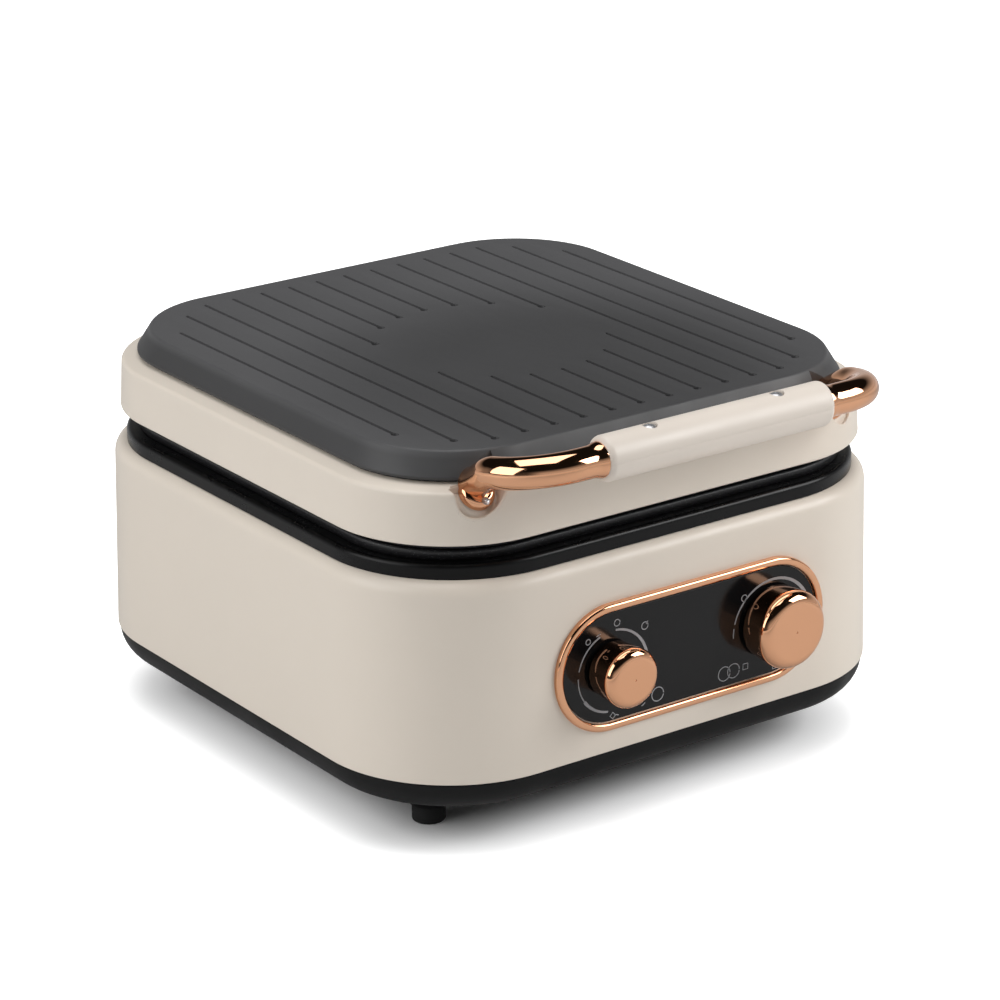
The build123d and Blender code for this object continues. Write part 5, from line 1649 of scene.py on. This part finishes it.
@dataclass
class ControlPanel(Assembly):
    """The glossy panel in its copper trim, with generic printed scales round both knobs."""

    x: float = 6.0
    z: float = 75.5
    seat: float = -142.6
    half_length: float = 70.0
    half_height: float = 25.6
    thickness: float = 1.9
    trim: float = 3.6
    trim_rise: float = 3.4
    trim_edge: float = 1.3
    gap: float = 0.5
    ink: float = 0.06
    ink_root: float = 0.2
    selector_x: float = -38.5
    temperature_x: float = 50.5

    def ribbon(self, line: np.ndarray, width: np.ndarray) -> np.ndarray:
        """A printed line of changing width: a flat band on the panel's face, closed all round.

        P(t, q) = line(t) + w(t) / 2 side(t), at the face or one ink layer above it, for four corners q.

        Args:
            line: The line's points on the panel, as x and z.
            width: Its width at each point.

        Returns:
            The grid of points.
        """
        heading = unit(np.gradient(line, axis=0))
        side = np.stack([-heading[:, 1], heading[:, 0]], axis=-1) * width[:, None] / 2
        low, high = self.thickness - self.ink_root, self.thickness + self.ink
        corners = [(-side, low), (side, low), (side, high), (-side, high)]
        rows = [np.column_stack([line + shift, np.full(len(line), h)]) for shift, h in corners]
        grid = np.stack(rows, axis=1)
        middle = grid.mean(axis=1, keepdims=True).repeat(4, axis=1)
        grid = np.concatenate([middle[:1], grid, middle[-1:]])
        return facing_front(0, self.seat, 0).put(grid)

    def arc(self, x: float, z: float, radius: float, start: float, end: float, wide: Pair) -> np.ndarray:
        """A printed arc whose width goes from one value to another.

        Args:
            x: Its middle across the panel.
            z: Its middle's height.
            radius: Its radius.
            start: Its first angle in degrees, from the right and upwards.
            end: Its last angle.
            wide: Its width at both ends.

        Returns:
            The grid of points.
        """
        steps = max(8, int(abs(end - start) / 3))
        angle = np.radians(np.linspace(start, end, steps))
        line = np.stack([x + radius * np.cos(angle), z + radius * np.sin(angle)], axis=-1)
        return self.ribbon(line, np.linspace(wide[0], wide[1], steps))

    def marks(self) -> bpy.types.Object:
        """All printed marks: scale arcs, rings, a diamond and short ticks, with no words or signs."""
        made = Piece("panel_marks")
        left, right = self.selector_x + 1.5, self.temperature_x + 0.5
        for x, z, radius, start, end, wide in (
            (left, 73.5, 18.6, 86, 7, (0.9, 1.5)),
            (left, 73.5, 18.6, 168, 112, (0.5, 0.9)),
            (left, 73.5, 18.6, -145, -182, (0.6, 0.5)),
            (left, 73.5, 18.6, -145, -98, (1.5, 0.9)),
            (right, 73.0, 21.8, 166, 31, (0.6, 1.6)),
            (right, 73.0, 21.8, 183, 171, (0.5, 0.6)),
        ):
            made.grid(self.arc(x, z, radius, start, end, wide))
        for x, z, radius in (
            (-35.0, 95.2, 1.5),
            (-20.0, 90.2, 1.7),
            (-50.4, 90.0, 1.2),
            (-12.6, 56.4, 3.2),
            (35.0, 89.6, 1.5),
            (24.4, 56.4, 3.3),
            (29.6, 56.6, 3.3),
        ):
            made.grid(self.arc(x, z, radius, 0, 350, (0.42, 0.42)))
        for x, z, reach, turn in ((36.3, 57.0, 1.9, 45.0), (53.0, 52.9, 1.5, 45.0), (-37.0, 52.6, 1.5, 0.0)):
            angle = np.radians(np.array([0, 90, 180, 270, 359]) + turn)
            line = np.stack([x + reach * np.cos(angle), z + reach * np.sin(angle)], axis=-1)
            made.grid(self.ribbon(line, np.full(5, 0.42)))
        for x, z, long, turn in (
            (-18.8, 91.4, 1.6, 60.0),
            (-44.8, 91.8, 2.4, 20.0),
            (-20.4, 53.6, 2.2, 30.0),
            (-34.6, 52.4, 1.6, -20.0),
        ):
            reach = np.array([math.cos(math.radians(turn)), math.sin(math.radians(turn))]) * long / 2
            line = np.array([(x, z) - reach, (x, z), (x, z) + reach])
            made.grid(self.ribbon(line, np.full(3, 0.45)))
        return made.build()

    def dress(self, wardrobe: Wardrobe, palette: Palette) -> None:
        """Builds the panel, its trim and the marks and dresses them."""
        outline = Outline(40, 20)
        place = facing_front(self.x, self.seat, self.z)
        half = self.half_height - self.gap
        line = round_corners(
            [(half, 0), (0, 0), (0, self.thickness), (half, self.thickness)],
            [0, 0, 0.3, 0],
            steps=6,
            guard=0.1,
        )
        inset, height = line[:, 0], line[:, 1]
        reach = self.half_length - self.gap
        face = outline.rings(reach - inset, half - inset, half - inset, height)
        panel = Piece("panel_face").grid(place.put(face)).build()
        wardrobe.place(panel, palette.panel, Body.BASE, "control_panel")
        line = round_corners(
            [(0, 0), (self.trim, 0), (self.trim, self.trim_rise), (0, self.trim_rise)],
            [0, 0, self.trim_edge, self.trim_edge],
            closed=True,
            steps=10,
        )
        inset, height = line[:, 0], line[:, 1]
        reach, half = self.half_length + self.trim, self.half_height + self.trim
        ring = outline.rings(reach - inset, half - inset, half - inset, height)
        trim = Piece("copper_trim").grid(place.put(ring), close_rows=True).build(Shading.SOFT)
        wardrobe.place(trim, palette.copper, Body.BASE, "panel_trim")
        wardrobe.place(self.marks(), palette.print_grey, Body.BASE)


@dataclass
class Knob(Assembly):
    """A turned copper knob, hollow at the back, with a generous front edge and a small centre mark.

    Attributes:
        name: The piece's name.
        x: Its place across the panel.
        radius: Its radius at the front.
        body: The body that it is.
        node: The CAD node that it stands for.
        edge: The radius of its front edge.
    """

    name: str
    x: float
    radius: float
    body: Body
    node: str
    edge: float
    z: float = 75.5
    back: float = -146.0
    front: float = -162.5
    taper: float = 1.3
    wall: float = 1.8
    hub: float = 5.0
    hub_back: float = -149.5
    bore: float = 3.05
    bore_end: float = 3.9
    dot: float = 0.45
    dot_depth: float = 0.3

    def dress(self, wardrobe: Wardrobe, palette: Palette) -> None:
        """Turns the knob's profile and dresses it."""
        depth = self.back - self.front
        inner = depth - 2 * self.wall
        hub = self.back - self.hub_back
        line = round_corners(
            [
                (0, depth - self.dot_depth),
                (self.dot * 0.6, depth - self.dot_depth),
                (self.dot, depth),
                (self.radius, depth),
                (self.radius - self.taper, 0),
                (self.radius - self.taper - self.wall, 0),
                (self.radius - self.taper - self.wall, inner),
                (self.hub, inner),
                (self.hub, hub),
                (self.bore, hub),
                (self.bore, depth - self.bore_end),
                (0, depth - self.bore_end),
            ],
            [0, 0, 0, self.edge, 0.4, 0.3, 0.5, 0, 0.2, 0, 0, 0],
            steps=18,
            guard=0.15,
        )
        place = facing_front(self.x, self.back, self.z)
        knob = Piece(self.name).grid(turned(place, line[:, 0], line[:, 1], 120)).build()
        wardrobe.place(knob, palette.copper, self.body, self.node)


class InnerParts(Assembly):
    """What stays as the CAD made it, or as a smooth copy of that."""

    def dress(self, wardrobe: Wardrobe, palette: Palette) -> None:
        """Gives the plates, hinges, inlet, heating and screws their finishes."""
        wardrobe.smoothed(palette.plate, "lower_plate", "upper_plate")
        hinges = [f"hinge_{part}_{side}" for part in ("bracket", "arm", "pin") for side in ("left", "right")]
        wardrobe.smoothed(palette.zinc, *hinges, "bracket_screws", "arm_screws")
        wardrobe.smoothed(palette.black_plastic, "power_inlet")
        small = ("tray_screws", "inlet_screws", "upper_rim_screws", "inlet_pins")
        wardrobe.smoothed(palette.steel, *small)
        for end in ("lower", "upper"):
            wardrobe.paint(palette.aluminium, f"{end}_heat_shield", f"{end}_heater_clamp")
            wardrobe.paint(palette.steel, f"{end}_heater", f"{end}_clamp_screw", f"{end}_shield_screws")
        wardrobe.paint(palette.steel, "cover_screws", "thermal_cutout", "thermal_fuse", "control_nuts")
        wardrobe.paint(palette.steel, "selector_shaft", "temperature_shaft")
        wardrobe.paint(palette.black_plastic, "selector_switch", "thermostat")


@dataclass
class Studio:
    """The pale floor, the soft lamps, the white surroundings and the camera.

    Attributes:
        eye: Where the camera stands, in millimetres.
        target: What it looks at.
        roll: Its turn about its own line of sight, in degrees.
        lens: Its focal length in millimetres.
        sensor: Its sensor's width in millimetres.
        ambient: The strength of the light from all round.
        horizon: How bright metal sees the surroundings at the skyline.
        ceiling: How bright it sees them overhead.
        skyline: The heights of a line of sight between which one gives way to the other.
        flag: How bright metal sees the left side, where a dark flag stands.
        flag_edge: The sideways parts of a line of sight between which the flag ends.
        shade: Half sizes and corner radius of the appliance's outline on the floor, in metres.
        fade: Between which distances from the appliance's outline the floor's painted glow turns it white, in
            metres.
        glow: How much painted glow is added to the floor's light there, for the camera.
        far: The same distances for the far floor.
        far_mirror: How much of the far floor's glow metal sees.
    """

    eye: Triple = (-949.2, -1320.0, 710.4)
    target: Triple = (-8.76, -15.27, 108.73)
    roll: float = -0.30
    lens: float = 136.66
    sensor: float = 36.0
    ambient: float = 0.14
    horizon: float = 0.52
    ceiling: float = 0.008
    skyline: Pair = (0.1, 0.42)
    flag: float = 0.12
    flag_edge: Pair = (-0.9, -0.55)
    shade: Triple = (0.08, 0.084, 0.06)
    fade: Pair = (-0.05, 0.04)
    glow: float = 1.1
    far: Pair = (0.5, 1.3)
    far_mirror: float = 0.5

    def camera(self) -> None:
        """Sets the camera at the photograph's viewpoint."""
        data = bpy.data.cameras.new("camera")
        data.lens = self.lens
        data.sensor_width = self.sensor
        data.dof.use_dof = False
        data.clip_start, data.clip_end = 0.05, 60.0
        camera = bpy.data.objects.new("camera", data)
        eye, target = np.array(self.eye), np.array(self.target)
        back = unit(eye - target)
        right = unit(np.cross([0.0, 0.0, 1.0], back))
        up = np.cross(back, right)
        turn = math.radians(self.roll)
        tilted = right * math.cos(turn) + up * math.sin(turn)
        lifted = np.cross(back, tilted)
        camera.matrix_world = Matrix(
            [[tilted[i], lifted[i], back[i], eye[i] * MILLIMETRE] for i in range(3)] + [[0, 0, 0, 1]]
        )
        bpy.context.scene.collection.objects.link(camera)
        bpy.context.scene.camera = camera

    def lamp(
        self,
        name: str,
        place: Triple,
        aim: Triple,
        size: Pair,
        power: float,
        spread: float = 180.0,
    ) -> None:
        """A soft rectangular lamp that faces a point.

        Args:
            name: Its name.
            place: Where it stands, in metres.
            aim: What it faces.
            size: Its width and height.
            power: Its power in watts.
            spread: How wide its beam is, in degrees.
        """
        data = bpy.data.lights.new(name, "AREA")
        data.shape = "RECTANGLE"
        data.size, data.size_y = size
        data.energy = power
        data.spread = math.radians(spread)
        lamp = bpy.data.objects.new(name, data)
        lamp.location = place
        lamp.rotation_mode = "QUATERNION"
        lamp.rotation_quaternion = (Vector(aim) - Vector(place)).to_track_quat("-Z", "Y")
        bpy.context.scene.collection.objects.link(lamp)

    def surroundings(self) -> None:
        """Sets the world: white to the camera and soft grey as light.

        Metal sees white up to the skyline and a dark ceiling above it, as in a real studio.
        """
        world = bpy.data.worlds.new("studio")
        bpy.context.scene.world = world
        world.use_nodes = True
        world.node_tree.nodes.clear()
        nodes = Graph(world.node_tree)
        sideways, _, up = nodes.split(nodes.node("TexCoord").outputs["Generated"])
        seen = nodes.rays()
        mirrored = nodes.maths("MAXIMUM", seen["Is Glossy Ray"], seen["Is Transmission Ray"])
        skyline = nodes.span(up, *self.skyline, self.horizon, self.ceiling)
        left = nodes.span(sideways, *self.flag_edge, self.flag, 1.0, smooth=True)
        level_of = nodes.mixed(mirrored, self.ambient, nodes.maths("MULTIPLY", skyline, left))
        background = nodes.node("Background", Color=(1.0, 1.0, 1.0, 1.0))
        nodes.link(nodes.mixed(seen["Is Camera Ray"], level_of, 1.0), background.inputs["Strength"])
        nodes.link(background.outputs[0], nodes.node("OutputWorld").inputs["Surface"])

    def floor(self) -> None:
        """Lays the pale floor, which keeps the shadow by the appliance and glows white away from it: painted
        light that paints the shadow's edge.

        The painted glow grows with the distance from the appliance's outline, a rounded rectangle:
        d = |max(|p| - h, 0)| - r, for half sizes h + r and corner radius r. Polished pieces see it darker, a
        painted darkening of the floor's reflection.
        """
        nodes = Nodes("pale floor")
        seen = nodes.rays()
        tone = nodes.span(nodes.noise(3.0, 2.0), 0.0, 1.0, 0.93, 1.0)
        # Painted reflection: glossy rays see the floor grey instead of pale, so metal reflects it darker.
        plain = nodes.maths("MULTIPLY", tone, nodes.maths("SUBTRACT", 1.0, seen["Is Glossy Ray"]))
        tone = nodes.blend(plain, (0.6, 0.6, 0.6, 1.0), (0.92, 0.92, 0.92, 1.0))
        nodes.link(tone, nodes.shader.inputs["Base Color"])
        white = {"Emission_Color": (1.0, 1.0, 1.0, 1.0)}
        set_inputs(nodes.shader, {"Roughness": 0.9, "Specular_IOR_Level": 0.1} | white)
        x, y, _ = nodes.split(nodes.place)
        square = 0.0
        for along, middle, half in ((x, 0.0, self.shade[0]), (y, BODY_Y * MILLIMETRE, self.shade[1])):
            along = nodes.maths("ABSOLUTE", nodes.maths("SUBTRACT", along, middle))
            out = nodes.maths("MAXIMUM", nodes.maths("SUBTRACT", along, half), 0.0)
            square = nodes.maths("ADD", square, nodes.maths("POWER", out, 2.0))
        away = nodes.maths("SUBTRACT", nodes.maths("SQRT", square), self.shade[2])
        near = nodes.span(away, *self.fade, 0.0, self.glow, smooth=True)
        far = nodes.span(away, *self.far, 0.0, 1.0, smooth=True)
        # Painted light: the floor glows for the camera, little by the appliance and fully away from it, which
        # paints the edge of the appliance's shadow.
        shown = nodes.maths("MULTIPLY", seen["Is Camera Ray"], nodes.maths("ADD", near, far))
        distant = nodes.maths("MULTIPLY", far, self.far_mirror)
        mirrored = nodes.maths("MULTIPLY", seen["Is Glossy Ray"], distant)
        nodes.link(nodes.maths("ADD", shown, mirrored), nodes.shader.inputs["Emission Strength"])
        reach = np.linspace(-14000, 14000, 9)
        across, along = np.meshgrid(reach, reach)
        points = np.stack([across, along, np.zeros_like(across)], axis=-1)
        ground = Piece("floor").grid(points, close_columns=False).build()
        face_towards(ground.data, (0.0, 0.0, 1.0))
        ground.data.materials.append(nodes.material)

    def build(self) -> None:
        """Sets up everything round the appliance."""
        self.camera()
        self.surroundings()
        self.floor()
        self.lamp("overhead", (-0.1, 0.1, 1.6), (0.0, 0.0, 0.1), (1.4, 1.2), 14.0)
        self.lamp("left_box", (-1.05, 0.1, 0.62), (0.0, 0.0, 0.1), (0.9, 0.8), 6.0)
        self.lamp("right_box", (0.66, -0.68, 0.62), (0.15, -0.14, 0.09), (0.6, 0.5), 3.0, 120.0)
        bpy.context.scene.view_settings.view_transform = "Standard"


def main() -> None:
    """Builds the appliance's looks in order and reports each piece."""
    logging.basicConfig(level=logging.INFO, format="%(name)s %(message)s")
    for leftover in list(bpy.data.objects):
        bpy.data.objects.remove(leftover)
    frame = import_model()
    Studio().build()
    palette = Palette()
    wardrobe = Wardrobe(frame)
    panel = ControlPanel()
    knobs = (
        Knob("selector_knob_shell", panel.selector_x, 13.9, Body.SELECTOR, "selector_knob", 4.2),
        Knob("temperature_knob_shell", panel.temperature_x, 18.4, Body.TEMPERATURE, "temperature_knob", 5.2),
    )
    for assembly in (Casing(), Lid(), Cover(), Handle(), panel, *knobs, InnerParts()):
        assembly.dress(wardrobe, palette)


if __name__ == "__main__":
    main()
